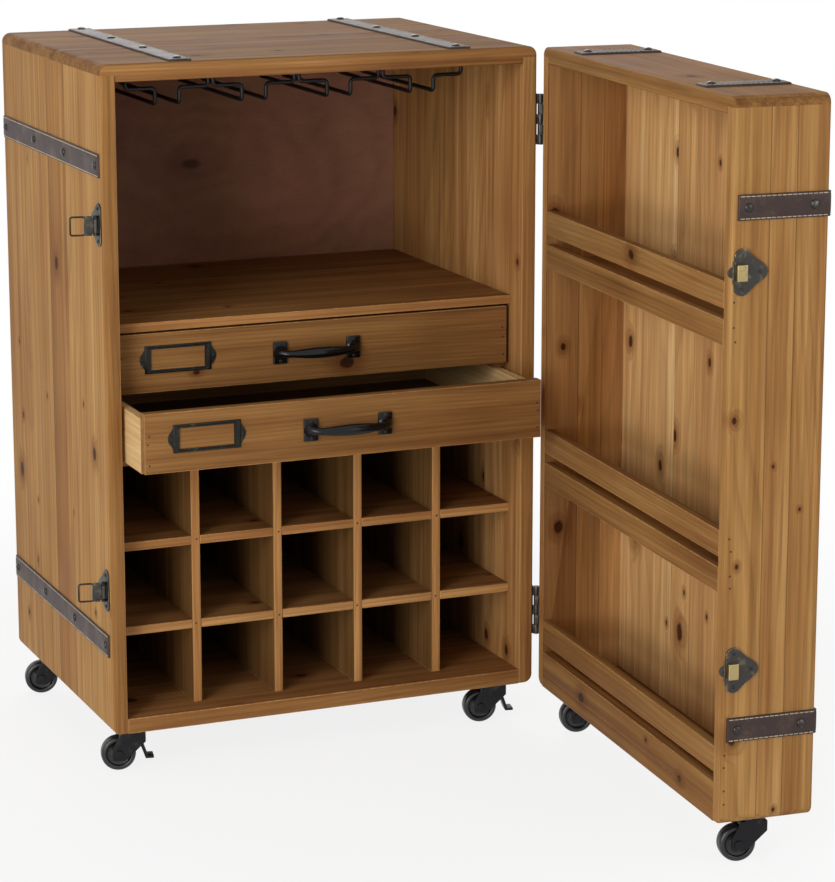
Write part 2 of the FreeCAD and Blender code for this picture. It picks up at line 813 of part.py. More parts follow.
def make_hinges():
    carcass = []
    door = []
    pins = []
    carcass_leaf_y = hinge_y + barrel_room
    door_leaf_y = hinge_y - barrel_room - dim.hinge_leaf_width
    for where, height in HINGE_HEIGHTS:
        z = base + height
        name = f"{where}_hinge"
        carcass.append(hinge_leaf(name + "_carcass", z, carcass_leaf_y, hinge_y, CARCASS_KNUCKLES, HERE))
        door_tongue_y = hinge_y - barrel_room
        door.append(hinge_leaf(name + "_door", z, door_leaf_y, door_tongue_y, DOOR_KNUCKLES, DOOR))
        pin_start = (hinge_x, hinge_y, z - dim.hinge_length / 2)
        pins.append(rod(name + "_pin", dim.hinge_pin_radius, dim.hinge_length, pin_start))
    node("hinge_leaves", group("hinge_leaves", carcass))
    node("door_hinge_leaves", group("door_hinge_leaves", door))
    node("hinge_pins", group("hinge_pins", pins))


# Latches: a hasp on the carcass swings over a hook on the door

LATCH_HEIGHTS = (("upper", dim.latch_upper_height), ("lower", dim.latch_lower_height))
latch_x = -half_width - dim.latch_axis_offset
latch_y = front + dim.latch_axis_setback
hasp_barrel_half = dim.hasp_height / 2 - dim.latch_lug_length


def nosed_plate(name, near, direction, middle_z, frame):
    """A plate on the left face with its broad end at near, and a narrow nose away from it."""
    broad = dim.latch_plate_height / 2
    nose = dim.latch_plate_nose / 2
    far = dim.latch_plate_length * direction
    corners = [(zero, -broad), (far, -nose), (far, nose), (zero, broad)]
    rotation = FACING_LEFT * Rotation(Vector(0, 0, 1), 90)
    seat = frame * place(-half_width, near, middle_z, rotation)
    return plate(name, corners, dim.latch_plate_thickness, seat, corners, dim.latch_plate_round)


def latch_plate(name, z):
    """The carcass half of a latch: plate, two lugs and the pin that they hold."""
    pieces = [nosed_plate(name + "_plate", front + dim.latch_plate_setback, 1, z, HERE)]
    for side in (-1, 1):
        lug_low = z + side * (hasp_barrel_half + dim.latch_lug_length / 2) - dim.latch_lug_length / 2
        lug_low = lug_low + side * dim.swivel_play
        lug_start = (latch_x, latch_y, lug_low)
        pieces.append(rod(f"{name}_lug_{side}", dim.latch_barrel_radius, dim.latch_lug_length, lug_start))
        web = (dim.latch_axis_offset, dim.latch_barrel_radius, dim.latch_lug_length)
        web_y = latch_y - dim.latch_barrel_radius / 2
        pieces.append(block(f"{name}_web_{side}", web, (latch_x, web_y, lug_low)))
    pin_length = dim.hasp_height
    pin_start = (latch_x, latch_y, z - pin_length / 2)
    pieces.append(rod(name + "_pin", dim.latch_pin_radius, pin_length, pin_start))
    return fuse(name, pieces)


def hasp(name, z):
    """The swinging arm and its loop, made shut along the face and then swung open."""
    swing = turned(vector(latch_x, latch_y, zero), -dim.hasp_open_angle)
    half = dim.hasp_height / 2
    loop_length = dim.hasp_window + 2 * dim.hasp_bar
    arm_length = dim.hasp_length - loop_length
    side_x = latch_x - dim.hasp_thickness / 2
    far_y = latch_y - dim.hasp_length
    loop_size = (dim.hasp_thickness, loop_length, dim.hasp_height)
    loop = block(name + "_loop", loop_size, (side_x, far_y, z - half), swing)
    arm_size = (dim.hasp_thickness, arm_length, 2 * hasp_barrel_half)
    arm_corner = (side_x, latch_y - arm_length, z - hasp_barrel_half)
    arm = block(name + "_arm", arm_size, arm_corner, swing)
    window_height = dim.hasp_height - 2 * dim.hasp_bar
    window_size = (dim.hasp_thickness + 2 * dim.overrun, dim.hasp_window, window_height)
    window_corner = (side_x - dim.overrun, far_y + dim.hasp_bar, z - half + dim.hasp_bar)
    window = block(name + "_window", window_size, window_corner, swing)
    barrel_start = (latch_x, latch_y, z - hasp_barrel_half)
    barrel = rod(name + "_barrel", dim.latch_barrel_radius, 2 * hasp_barrel_half, barrel_start)
    bore_radius = dim.latch_pin_radius + dim.running_play
    bore_start = (latch_x, latch_y, z - half - dim.overrun)
    bore = rod(name + "_bore", bore_radius, dim.hasp_height + 2 * dim.overrun, bore_start)
    return cut(name, fuse(name + "_solid", [loop, arm, barrel]), [window, bore])


def make_latches():
    plates = []
    catches = []
    hooks = []
    for where, height in LATCH_HEIGHTS:
        z = base + height
        plates.append(latch_plate(f"{where}_latch", z))
        node(f"{where}_hasp", hasp(f"{where}_hasp", z))
        name = f"{where}_catch"
        plate_near = door_rim - dim.edge_ease
        catch_plate = nosed_plate(name + "_plate", plate_near, -1, z, DOOR)
        disc_start = (-half_width, door_rim - dim.tongue_radius + dim.tongue_reach, z)
        disc_size = (dim.tongue_radius, dim.latch_plate_thickness)
        disc = rod(name + "_tongue", *disc_size, disc_start, DOOR, FACING_LEFT)
        catches.append(fuse(name, [catch_plate, disc]))
        hook_x = -half_width - dim.latch_plate_thickness - dim.hook_reach
        hook_size = (dim.hook_reach, dim.hook_length, dim.hook_height)
        hook_y = door_rim - dim.hook_setback - dim.hook_length
        hooks.append(block(f"{where}_hook", hook_size, (hook_x, hook_y, z - dim.hook_height / 2), DOOR))
    node("latch_plates", group("latch_plates", plates))
    node("latch_catches", group("latch_catches", catches))
    node("latch_hooks", group("latch_hooks", hooks))


# Casters, each made about its swivel axis with the wheel trailing to -X, then turned and placed

ALONG_Y = Rotation(Vector(1, 0, 0), -90)
plate_bottom = dim.caster_height - dim.caster_plate_thickness
head_top = plate_bottom - dim.swivel_play
head_bottom = head_top - dim.fork_head_thickness
bridge_bottom = head_bottom - dim.fork_bridge
axle_z = dim.wheel_radius
leg_gap = dim.wheel_width + 2 * dim.fork_leg_play
fork_width = leg_gap + 2 * dim.fork_leg_thickness


def caster_plate(name, seat):
    """A square plate with the kingpin that the fork turns on."""
    half = dim.caster_plate_width / 2
    size = (dim.caster_plate_width, dim.caster_plate_width, dim.caster_plate_thickness)
    top = block(name + "_top", size, (-half, -half, plate_bottom), seat)
    pin_length = plate_bottom - bridge_bottom
    pin = rod(name + "_kingpin", dim.kingpin_radius, pin_length, (zero, zero, bridge_bottom), seat)
    return fuse(name, [top, pin])


def fork(name, seat, has_brake):
    """A pressed fork: a head, a bridge and two legs down to the axle, with the axle riveted across."""
    axle_x = -dim.caster_trail
    reach = dim.fork_leg_reach
    head = dim.fork_head_radius
    outline = [
        (axle_x - reach, axle_z - reach),
        (axle_x + reach, axle_z - reach),
        (head, bridge_bottom - reach),
        (head, head_bottom),
        (-head, head_bottom),
        (axle_x - reach, axle_z + reach),
    ]
    leg_frame = seat * place(zero, fork_width / 2, zero, UPRIGHT)
    legs = plate(name + "_legs", outline, fork_width, leg_frame, outline[:2], reach / 2)
    disc = rod(name + "_head", head, dim.fork_head_thickness, (zero, zero, head_bottom), seat)
    slot_size = (2 * dim.caster_plate_width, leg_gap, bridge_bottom + dim.overrun)
    slot_corner = (axle_x - dim.caster_plate_width, -leg_gap / 2, -dim.overrun)
    tools = [block(name + "_slot", slot_size, slot_corner, seat)]
    pin_bore = dim.kingpin_radius + dim.running_play
    pin_bore_start = (zero, zero, bridge_bottom - dim.overrun)
    tools.append(rod(name + "_pin_bore", pin_bore, dim.caster_height, pin_bore_start, seat))
    across = fork_width + 2 * dim.overrun
    hole_y = -fork_width / 2 - dim.overrun
    axle_bore = dim.axle_radius + dim.running_play
    tools.append(rod(name + "_axle_bore", axle_bore, across, (axle_x, hole_y, axle_z), seat, ALONG_Y))
    pieces = []
    if has_brake:
        brake_bore = dim.brake_pin_radius + dim.running_play
        brake_spot = (dim.brake_pin_forward, hole_y, dim.brake_pin_height)
        tools.append(rod(name + "_brake_bore", brake_bore, across, brake_spot, seat, ALONG_Y))
    pieces.append(cut(name + "_frame", fuse(name + "_solid", [legs, disc]), tools))
    axle_y = -fork_width / 2
    axle = [rod(name + "_axle_rod", dim.axle_radius, fork_width, (axle_x, axle_y, axle_z), seat, ALONG_Y)]
    for side in (-1, 1):
        head_y = fork_width / 2 if side > 0 else axle_y - dim.axle_head_thickness
        spot = (axle_x, head_y, axle_z)
        head_size = (dim.axle_head_radius, dim.axle_head_thickness)
        axle.append(rod(f"{name}_axle_head_{side}", *head_size, spot, seat, ALONG_Y))
    pieces.append(fuse(name + "_axle", axle))
    return group(name, pieces)


def wheel(name, seat):
    """A turned wheel with a dished web, about its own Y axis."""
    bore = dim.axle_radius + dim.running_play
    rim = dim.wheel_radius - dim.wheel_rim
    half = dim.wheel_width / 2
    web = dim.wheel_web / 2
    hub = dim.wheel_hub_radius
    lower = [(bore, -half), (hub, -half), (hub, -web), (rim, -web), (rim, -half), (dim.wheel_radius, -half)]
    upper = [(x, -y) for x, y in reversed(lower)]
    body, sketch = outline_body(name, lower + upper)
    turn = body.newObject("PartDesign::Revolution", name + "_turn")
    turn.Profile = sketch
    turn.ReferenceAxis = (sketch, ["V_Axis"])
    turn.Angle = 360

    def tread_edge(edge):
        curve = edge.Curve
        return hasattr(curve, "Radius") and same(curve.Radius, float(dim.wheel_radius))

    round_edges(body, name + "_round", dim.wheel_round, tread_edge)
    body.Placement = seat * place(-dim.caster_trail, zero, axle_z)
    return body


def brake(name, seat):
    """A foot lever on a cross pin, with a cam that presses on the tread."""
    pin_x = dim.brake_pin_forward
    pin_z = dim.brake_pin_height
    to_wheel = vector(-dim.caster_trail - pin_x, zero, axle_z - pin_z)
    cam_reach = to_wheel.Length - float(dim.wheel_radius) - float(dim.brake_shoe_play)
    cam_share = cam_reach / to_wheel.Length
    cam_x = pin_x - (dim.caster_trail + pin_x) * cam_share
    cam_z = pin_z + (axle_z - pin_z) * cam_share
    boss = dim.brake_boss_radius
    thick = dim.brake_thickness
    heel_x = pin_x + dim.brake_arm_length - dim.brake_toe
    heel_z = pin_z - dim.brake_arm_drop
    outline = [
        (cam_x, cam_z),
        (pin_x + boss, pin_z - boss),
        (heel_x, heel_z),
        (heel_x + dim.brake_toe, heel_z),
        (heel_x + dim.brake_toe, heel_z + thick),
        (heel_x + thick, heel_z + thick),
        (pin_x + boss + thick, pin_z),
        (pin_x, pin_z + boss),
        (pin_x - boss, pin_z),
    ]
    width = leg_gap - 2 * dim.brake_leg_play
    lever = plate(name + "_lever", outline, width, seat * place(zero, width / 2, zero, UPRIGHT))
    pin_spot = (pin_x, -fork_width / 2, pin_z)
    pin = rod(name + "_pin", dim.brake_pin_radius, fork_width, pin_spot, seat, ALONG_Y)
    return fuse(name, [lever, pin])


def make_casters():
    side_x = half_width - dim.caster_inset_side
    near_y = front + dim.caster_inset_front
    far_y = back - dim.caster_inset_front
    door_y = door_face + dim.door_depth / 2
    spots = {
        "front_left": (-side_x, near_y, HERE, True),
        "front_right": (side_x, near_y, HERE, True),
        "rear_left": (-side_x, far_y, HERE, False),
        "rear_right": (side_x, far_y, HERE, False),
        "door_free": (-side_x, door_y, DOOR, False),
        "door_hinge": (side_x, door_y, DOOR, False),
    }
    plates = {"": [], "door_": []}
    for where, (x, y, frame, has_brake) in spots.items():
        spot = (frame * place(x, y, zero)).Base
        trail_turn = Rotation(AXIS_Z, float(dim.caster_turn_angle))
        seat = Placement(spot, trail_turn)
        plate_seat = frame * place(x, y, zero)
        prefix = "door_" if where.startswith("door") else ""
        plates[prefix].append(caster_plate(where + "_caster_plate", plate_seat))
        node(where + "_fork", fork(where + "_fork", seat, has_brake))
        node(where + "_wheel", wheel(where + "_wheel", seat))
        if has_brake:
            node(where + "_brake", brake(where + "_brake", seat))
    for prefix, pieces in plates.items():
        node(prefix + "caster_plates", group(prefix + "caster_plates", pieces))


make_carcass()
make_rack()
make_drawers()
make_stemware_rack()
make_straps()
make_door()
make_hinges()
make_latches()
make_casters()
doc.recompute()

# Nothing is written unless every feature and every sub-part came out whole

failed = [item.Name for item in doc.Objects if {"Invalid", "Error"} & set(item.State)]
hollow = [label for label, piece in nodes.items() if piece.Shape.isNull() or not piece.Shape.isValid()]
if failed or hollow:
    raise RuntimeError(f"features failed: {failed}, shapes not valid: {hollow}")
os.makedirs("parts", exist_ok=True)
for label, piece in nodes.items():
    piece.Shape.exportStep(f"parts/{label}.step")
print(len(nodes), "sub-parts")
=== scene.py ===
import json
import math
import random

import bmesh
import bpy
from mathutils import Matrix, Vector


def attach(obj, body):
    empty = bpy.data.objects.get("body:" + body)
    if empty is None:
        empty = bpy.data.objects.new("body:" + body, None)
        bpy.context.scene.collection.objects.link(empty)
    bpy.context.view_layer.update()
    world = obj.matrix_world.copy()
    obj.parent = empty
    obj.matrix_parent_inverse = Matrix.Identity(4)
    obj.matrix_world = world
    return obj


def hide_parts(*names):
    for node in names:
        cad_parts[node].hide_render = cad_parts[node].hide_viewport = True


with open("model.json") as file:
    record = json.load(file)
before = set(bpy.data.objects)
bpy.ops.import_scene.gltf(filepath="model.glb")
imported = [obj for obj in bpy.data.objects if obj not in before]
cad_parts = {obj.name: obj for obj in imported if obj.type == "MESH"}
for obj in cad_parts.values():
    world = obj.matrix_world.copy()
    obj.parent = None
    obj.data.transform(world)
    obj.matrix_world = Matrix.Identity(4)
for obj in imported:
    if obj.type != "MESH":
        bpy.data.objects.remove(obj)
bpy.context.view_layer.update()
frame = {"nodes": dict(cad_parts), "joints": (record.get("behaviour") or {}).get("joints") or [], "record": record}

cad = frame["nodes"]
body_of_node = {n: b for b, members in frame["record"]["behaviour"]["bodies"].items() for n in members}
joints = {joint["name"]: joint for joint in frame["joints"]}

MM = 0.001
DRAWERS = ("upper_drawer", "lower_drawer")
DIVIDERS = [f"rack_divider_{number}" for number in range(1, 5)]
X_AXIS, Y_AXIS, Z_AXIS = Vector((1, 0, 0)), Vector((0, 1, 0)), Vector((0, 0, 1))


def from_shut(joint):
    """The turn at a hinge from its lower limit, where its body is shut, to where the body stands."""
    turn = Matrix.Rotation(-math.radians(joint["range_deg"][0]), 4, Vector(joint["axis"]))
    return Matrix.Translation(Vector(joint["pos_m"])) @ turn


# The door and the hasps are drawn shut, each in a frame of its own
FRAMES = {body: from_shut(joints[body + "_hinge"]) for body in ("door", "upper_hasp", "lower_hasp")}
FRAMES["door"] @= Matrix.Translation(-Vector(joints["door_hinge"]["pos_m"]))


def frame_of(body):
    """Where a body's own frame stands."""
    return FRAMES.get(body, Matrix.Identity(4))


# Materials

class Tree:
    """The nodes of a material or of the world, with short ways to add and join them."""

    def __init__(self, owner, shader="Principled BSDF"):
        owner.use_nodes = True
        self.owner = owner
        self.nodes = owner.node_tree.nodes
        self.links = owner.node_tree.links
        self.surface = self.nodes[shader]

    def feed(self, socket, value):
        if isinstance(value, bpy.types.NodeSocket):
            self.links.new(value, socket)
        else:
            socket.default_value = (*value, 1.0) if socket.type == "RGBA" else value

    def add(self, kind, inputs=None, **settings):
        made = self.nodes.new("ShaderNode" + kind)
        for key, value in settings.items():
            setattr(made, key, value)
        for key, value in (inputs or {}).items():
            self.feed(made.inputs[key], value)
        return made

    def math(self, operation, a, b=0.0, c=0.0):
        return self.add("Math", {0: a, 1: b, 2: c}, operation=operation).outputs[0]

    def scaled(self, value, factor, offset=0.0):
        return self.math("MULTIPLY_ADD", value, factor, offset)

    def total(self, *terms):
        """The sum of some values. A term may also be a value with its factor, and with an offset."""
        values = [self.scaled(*term) if isinstance(term, tuple) else term for term in terms]
        sum_so_far = values[0]
        for value in values[1:]:
            sum_so_far = self.math("ADD", sum_so_far, value)
        return sum_so_far

    def times(self, a, b):
        return self.math("MULTIPLY", a, b)

    def mix(self, share, a, b, blend="MIX"):
        return self.add("Mix", {0: share, 6: a, 7: b}, data_type="RGBA", blend_type=blend).outputs[2]

    def place(self, x, y, z):
        return self.add("CombineXYZ", {0: x, 1: y, 2: z}).outputs[0]

    def noise(self, where, scale, detail=2.0, rough=0.5):
        made = self.add("TexNoise", {"Vector": where, "Scale": scale, "Detail": detail, "Roughness": rough})
        return made.outputs

    def span(self, value, low, high, to_low=0.0, to_high=1.0, smooth=False):
        inputs = {0: value, 1: low, 2: high, 3: to_low, 4: to_high}
        kind = "SMOOTHSTEP" if smooth else "LINEAR"
        return self.add("MapRange", inputs, interpolation_type=kind).outputs[0]

    def ramp(self, share, stops, interpolation="LINEAR"):
        made = self.add("ValToRGB", {0: share})
        made.color_ramp.interpolation = interpolation
        elements = made.color_ramp.elements
        while len(elements) < len(stops):
            elements.new(1.0)
        for element, (position, colour) in zip(elements, stops):
            element.position = position
            element.color = (*colour, 1.0)
        return made.outputs[0]

    def split(self, colour):
        return self.add("SeparateColor", {0: colour}).outputs

    def point(self):
        return self.add("TexCoord").outputs["Object"]

    def here(self):
        """The point on the piece itself, in metres, in x, y and z."""
        return self.add("SeparateXYZ", {0: self.point()}).outputs

    def seen(self):
        """One where the camera, a reflection or a look through glass meets it, otherwise zero."""
        rays = self.add("LightPath").outputs
        direct = self.math("MAXIMUM", rays["Is Camera Ray"], rays["Is Glossy Ray"])
        return self.math("MAXIMUM", direct, rays["Is Transmission Ray"])

    def bump(self, height, distance, strength):
        made = self.add("Bump", {"Height": height, "Distance": distance, "Strength": strength})
        self.finish(Normal=made.outputs[0])

    def finish(self, **inputs):
        for key, value in inputs.items():
            self.feed(self.surface.inputs[key.replace("_", " ")], value)
        return self.owner


def new_material(name):
    return Tree(bpy.data.materials.new(name))


def grey(value):
    return (value, value, value)


SAP = (0.640, 0.440, 0.215)
PALE = (0.520, 0.308, 0.124)
HONEY = (0.385, 0.198, 0.070)
RUSSET = (0.215, 0.092, 0.032)
UMBER = (0.105, 0.038, 0.013)
HALO = (0.170, 0.058, 0.018)
BLUSH = (0.270, 0.102, 0.038)
CREAM = (0.700, 0.520, 0.270)
KNOT = (0.045, 0.016, 0.007)
YELLOW_CAST = (1.03, 1.02, 0.92)
RED_CAST = (1.02, 0.93, 0.90)
PLANK_LOW, PLANK_HIGH, OUTER_PLANK = -0.6, 1.0, 0.1
SEED_SPREAD, KNOT_CELLS, RING_WIDTH = 37.0, (10.5, 7.4), 5.2 * MM
SEAM_HALF = 0.38 * MM
AXES = "XYZ"


def plank_share(where):
    return (where - PLANK_LOW) / (PLANK_HIGH - PLANK_LOW)


def plank_stops(planks, draw):
    """Where each plank starts, as a share of the range, with its tone, its seed and its middle."""
    inner = [start for start, _ in planks[1:]]
    bounds = [inner[0] - OUTER_PLANK, *inner, inner[-1] + OUTER_PLANK] if inner else [0.0, 0.0]
    stops = []
    for number, (_, tone) in enumerate(planks):
        start = bounds[number] if number else PLANK_LOW
        middle = (bounds[number] + bounds[number + 1]) / 2
        stops.append((plank_share(start), (tone, draw.random(), plank_share(middle))))
    return stops if inner else stops * 2


def pine(name, along, across, planks, light=1.0, knots=0.45, burl=1.0, seams=True, gloss=0.06, bleach=0.0):
    """Knotty pine with its grain along an axis.

    Each plank has its start and its tone, which is 1 for dark, 0 for pale and less for sapwood.
    """
    tree = new_material(name)
    draw = random.Random(name)
    here = tree.here()
    run, wide = here[AXES.index(along)], here[AXES.index(across)]
    deep = here[3 - AXES.index(along) - AXES.index(across)]
    stops = plank_stops(planks, draw)

    def plank_at(where):
        return tree.split(tree.ramp(tree.span(where, PLANK_LOW, PLANK_HIGH), stops, "CONSTANT"))

    def stretched(cross, lengthwise):
        return tree.place(
            tree.times(side, cross), tree.times(deep, cross), tree.scaled(run, lengthwise, start))

    tone, seed, middle = plank_at(wide)
    side = tree.math("ADD", wide, tree.scaled(middle, PLANK_LOW - PLANK_HIGH, -PLANK_LOW))
    start = tree.times(seed, SEED_SPREAD)

    # Knots, in cells that are longer along the grain
    cell = tree.place(tree.scaled(side, KNOT_CELLS[0], start), tree.scaled(run, KNOT_CELLS[1], start), 0.0)
    scatter = {"Vector": cell, "Scale": 1.0, "Randomness": 0.9}
    voronoi = tree.add("TexVoronoi", scatter, voronoi_dimensions="2D")
    chance, size, _ = tree.split(voronoi.outputs["Color"])
    present = tree.math("GREATER_THAN", chance, 1.0 - 0.75 * knots)
    reach = tree.scaled(tree.math("POWER", size, 2.0), 0.075 * burl, 0.022 * burl)
    ragged = tree.noise(tree.place(tree.times(side, 90.0), tree.times(run, 60.0), deep), 1.0)[0]
    near = tree.math("DIVIDE", voronoi.outputs["Distance"], reach)
    near = tree.total(near, (ragged, 0.8, -0.4))
    core = tree.times(present, tree.span(near, 0.70, 1.15, 1.0, 0.0, True))
    halo = tree.times(present, tree.span(near, 0.6, 3.8, 1.0, 0.0, True))

    # Growth rings about a pith that each plank has in its own place
    drift = tree.split(tree.noise(tree.place(side, deep, tree.scaled(run, 0.16, start)), 5.0)[1])
    pith_side = tree.scaled(seed, 0.16, -0.08)
    pith_deep = tree.scaled(tree.math("FRACT", tree.times(seed, 7.31)), 0.06, 0.030)
    dx = tree.total(side, pith_side, (drift[0], 0.075, -0.0375))
    dy = tree.total(deep, pith_deep, (drift[1], 0.075, -0.0375))
    radius = tree.math("SQRT", tree.total((dx, dx), (dy, dy)))
    radius = tree.total(radius, (halo, 0.011))
    phase = tree.math("FRACT", tree.math("DIVIDE", radius, RING_WIDTH))
    late = tree.ramp(phase, [(0.0, grey(0.10)), (0.45, grey(0.0)), (0.88, grey(1.0)), (1.0, grey(0.10))])

    # Streaks of stain along the grain, broad, narrow and as thin as a fibre
    broad = tree.noise(stretched(36.0, 0.9), 1.0, 2.0, 0.55)[0]
    narrow = tree.noise(stretched(135.0, 1.7), 1.0, 3.0, 0.60)[0]
    fibre = tree.noise(stretched(420.0, 9.0), 1.0, 3.0, 0.60)[0]
    blush = tree.span(tree.noise(stretched(58.0, 1.2), 1.0)[0], 0.54, 0.74, 0.0, 0.5, True)
    cloud = tree.noise(tree.place(side, deep, tree.math("ADD", run, start)), 6.0)[0]
    depth = tree.total(tone, (broad, 0.95, -0.475), (narrow, 0.85, -0.425), (cloud, 0.5, -0.25))
    stain = [(0.0, SAP), (0.2, PALE), (0.52, HONEY), (0.824, RUSSET), (1.0, UMBER)]
    wood = tree.ramp(tree.scaled(depth, 0.8, 0.2), stain)
    cast = tree.mix(tree.math("FRACT", tree.times(seed, 3.77)), YELLOW_CAST, RED_CAST)
    wood = tree.mix(1.0, wood, cast, "MULTIPLY")
    wood = tree.mix(blush, wood, BLUSH)
    wood = tree.mix(tree.times(late, 0.36), wood, RUSSET)
    if bleach:
        wood = tree.mix(bleach, wood, CREAM)
    wood = tree.mix(tree.times(halo, 0.66), wood, HALO)
    wood = tree.mix(tree.times(core, 0.94), wood, KNOT)
    # light scales the wood's whole brightness; on the top and the dividers it is lowered as painted shade, and on
    # the lips, stiles and the hinge side's inner face it is raised as painted light
    shade = tree.span(fibre, 0.30, 0.72, 0.80 * light, 1.12 * light)
    relief = tree.total((late, 0.5), (fibre, 0.5), (core, -0.5))
    if seams and len(planks) > 1:
        before = plank_at(tree.math("SUBTRACT", wide, SEAM_HALF))[1]
        after = plank_at(tree.math("ADD", wide, SEAM_HALF))[1]
        step = tree.math("ABSOLUTE", tree.math("SUBTRACT", before, after))
        seam = tree.math("GREATER_THAN", step, 0.001)
        shade = tree.times(shade, tree.scaled(seam, -0.48, 1.0))
        relief = tree.total(relief, (seam, -1.6))
    tint = tree.add("CombineColor", {0: shade, 1: shade, 2: shade}).outputs[0]
    wood = tree.mix(1.0, wood, tint, "MULTIPLY")
    rough = tree.total((fibre, 0.20), (late, -0.08), 0.50)
    tree.bump(relief, 0.25 * MM, 0.7)
    return tree.finish(Base_Color=wood, Roughness=rough, Specular_IOR_Level=gloss)


def ply(name, along, dark, mid, knot):
    """Smooth stained ply: cloudy stain, fine pores, and a faint arched figure about a knot."""
    tree = new_material(name)
    here = tree.here()
    run, wide = here[AXES.index(along)], here[0]
    flat = tree.place(wide, run, 0.0)
    cloud = tree.noise(flat, 4.5, 3.0, 0.55)[0]
    warp = tree.noise(flat, 6.0)[0]
    mottle = tree.noise(flat, 60.0, 3.0, 0.6)[0]
    fibre = tree.noise(tree.place(tree.times(wide, 60.0), tree.times(run, 420.0), 0.0), 1.0, 3.0, 0.6)[0]
    dx = tree.times(tree.math("SUBTRACT", wide, knot[0]), 0.5)
    dz = tree.math("SUBTRACT", run, knot[1])
    away = tree.math("SQRT", tree.total((dx, dx), (dz, dz)))
    arches = tree.math("SINE", tree.scaled(tree.total(away, (warp, 0.16)), 190.0))
    core = tree.span(tree.total(away, (mottle, 0.004)), 0.005, 0.011, 1.0, 0.0, True)
    halo = tree.span(away, 0.0, 0.045, 1.0, 0.0, True)
    depth = tree.total((cloud, 0.9), (arches, 0.05), (mottle, 0.30), (fibre, 0.30), (halo, -0.30), -0.22)
    colour = tree.ramp(depth, [(0.0, dark), (1.0, mid)])
    cast = tree.mix(tree.span(warp, 0.38, 0.62), (1.03, 0.97, 0.97), (0.97, 1.01, 0.94))
    colour = tree.mix(1.0, colour, cast, "MULTIPLY")
    colour = tree.mix(tree.times(core, 0.8), colour, KNOT)
    tree.bump(tree.total(fibre, (mottle, 0.6)), 0.12 * MM, 0.6)
    return tree.finish(Base_Color=colour, Roughness=tree.scaled(fibre, 0.15, 0.45), Specular_IOR_Level=0.15)


def metal(name, base, worn, rough, metallic, wear=0.5, grain=1040.0, lumps=0.10):
    """Cast or pressed metal with a patchy finish and rubbed places."""
    tree = new_material(name)
    point = tree.point()
    patch = tree.noise(point, 95.0, 4.0, 0.6)[0]
    fine = tree.noise(point, grain)[0]
    rubbed = tree.span(patch, 0.62 - 0.2 * wear, 0.86 - 0.2 * wear, 0.0, 1.0, True)
    colour = tree.mix(rubbed, base, worn)
    tree.bump(tree.total((patch, 0.7), (fine, 0.3)), lumps * MM, 0.8)
    roughness = tree.total((patch, 0.25), (fine, 0.08), rough - 0.15)
    return tree.finish(Base_Color=colour, Roughness=roughness, Metallic=metallic)


def hide(name):
    """Dark strap leather with a pebbled grain, creases and rubbed high spots."""
    tree = new_material(name)
    point = tree.point()
    scatter = {"Vector": point, "Scale": 620.0, "Randomness": 1.0}
    pebble = tree.add("TexVoronoi", scatter).outputs["Distance"]
    crease = tree.noise(point, 210.0, 4.0, 0.65)[0]
    patch = tree.noise(point, 28.0, 3.0)[0]
    rubbed = tree.span(tree.total(patch, (crease, 0.5)), 0.70, 0.98, 0.0, 1.0, True)
    colour = tree.mix(rubbed, (0.038, 0.022, 0.018), (0.070, 0.044, 0.035))
    tree.bump(tree.total((pebble, -0.8), crease), 0.14 * MM, 0.8)
    roughness = tree.total((crease, 0.24), (rubbed, -0.06), 0.40)
    return tree.finish(Base_Color=colour, Roughness=roughness, Specular_IOR_Level=0.30)


def thread(name):
    """Waxed linen thread with a twist."""
    tree = new_material(name)
    point = tree.point()
    wave = {"Vector": point, "Scale": 420.0, "Distortion": 2.0}
    twist = tree.add("TexWave", wave, bands_direction="DIAGONAL").outputs[1]
    soil = tree.noise(point, 60.0, 3.0)[0]
    colour = tree.mix(tree.span(soil, 0.35, 0.75), (0.56, 0.48, 0.37), (0.30, 0.24, 0.17))
    tree.bump(twist, 0.15 * MM, 0.7)
    return tree.finish(Base_Color=colour, Roughness=0.7)


def dark_rubber(name):
    """Moulded black tread with a faint dusty bloom."""
    tree = new_material(name)
    point = tree.point()
    bloom = tree.noise(point, 75.0, 4.0, 0.6)[0]
    fine = tree.noise(point, 900.0)[0]
    colour = tree.mix(tree.span(bloom, 0.45, 0.75), (0.007, 0.007, 0.008), (0.016, 0.016, 0.016))
    tree.bump(fine, 0.06 * MM, 0.7)
    return tree.finish(Base_Color=colour, Roughness=tree.scaled(bloom, 0.22, 0.24))


# Planks, front to back on the sides, free side to hinge side on the door's panel
SIDE_PLANKS = [(-0.21, 0.22), (-0.065, 0.44), (0.010, 0.28), (0.105, 0.34)]
RIGHT_PLANKS = [(-0.21, 0.34), (-0.10, 0.22), (0.0, 0.48), (0.10, 0.30)]
TOP_PLANKS = [(-0.21, 0.50), (-0.09, 0.60), (0.03, 0.46), (0.12, 0.56)]
DOOR_SIDE_PLANKS = [(-0.33, 0.34), (-0.292, 0.28), (-0.262, 0.36)]
PANEL_PLANKS = [
    (-0.28, 0.34), (-0.215, 0.04), (-0.160, 0.28), (-0.060, 0.32), (0.040, 0.14), (0.095, -0.42)]


def one(tone):
    """A board that is a single plank."""
    return [(-0.3, tone)]


WOOD = {}


def stained(kind, *grain, **looks):
    WOOD[kind] = pine("pine_" + kind, *grain, **looks)


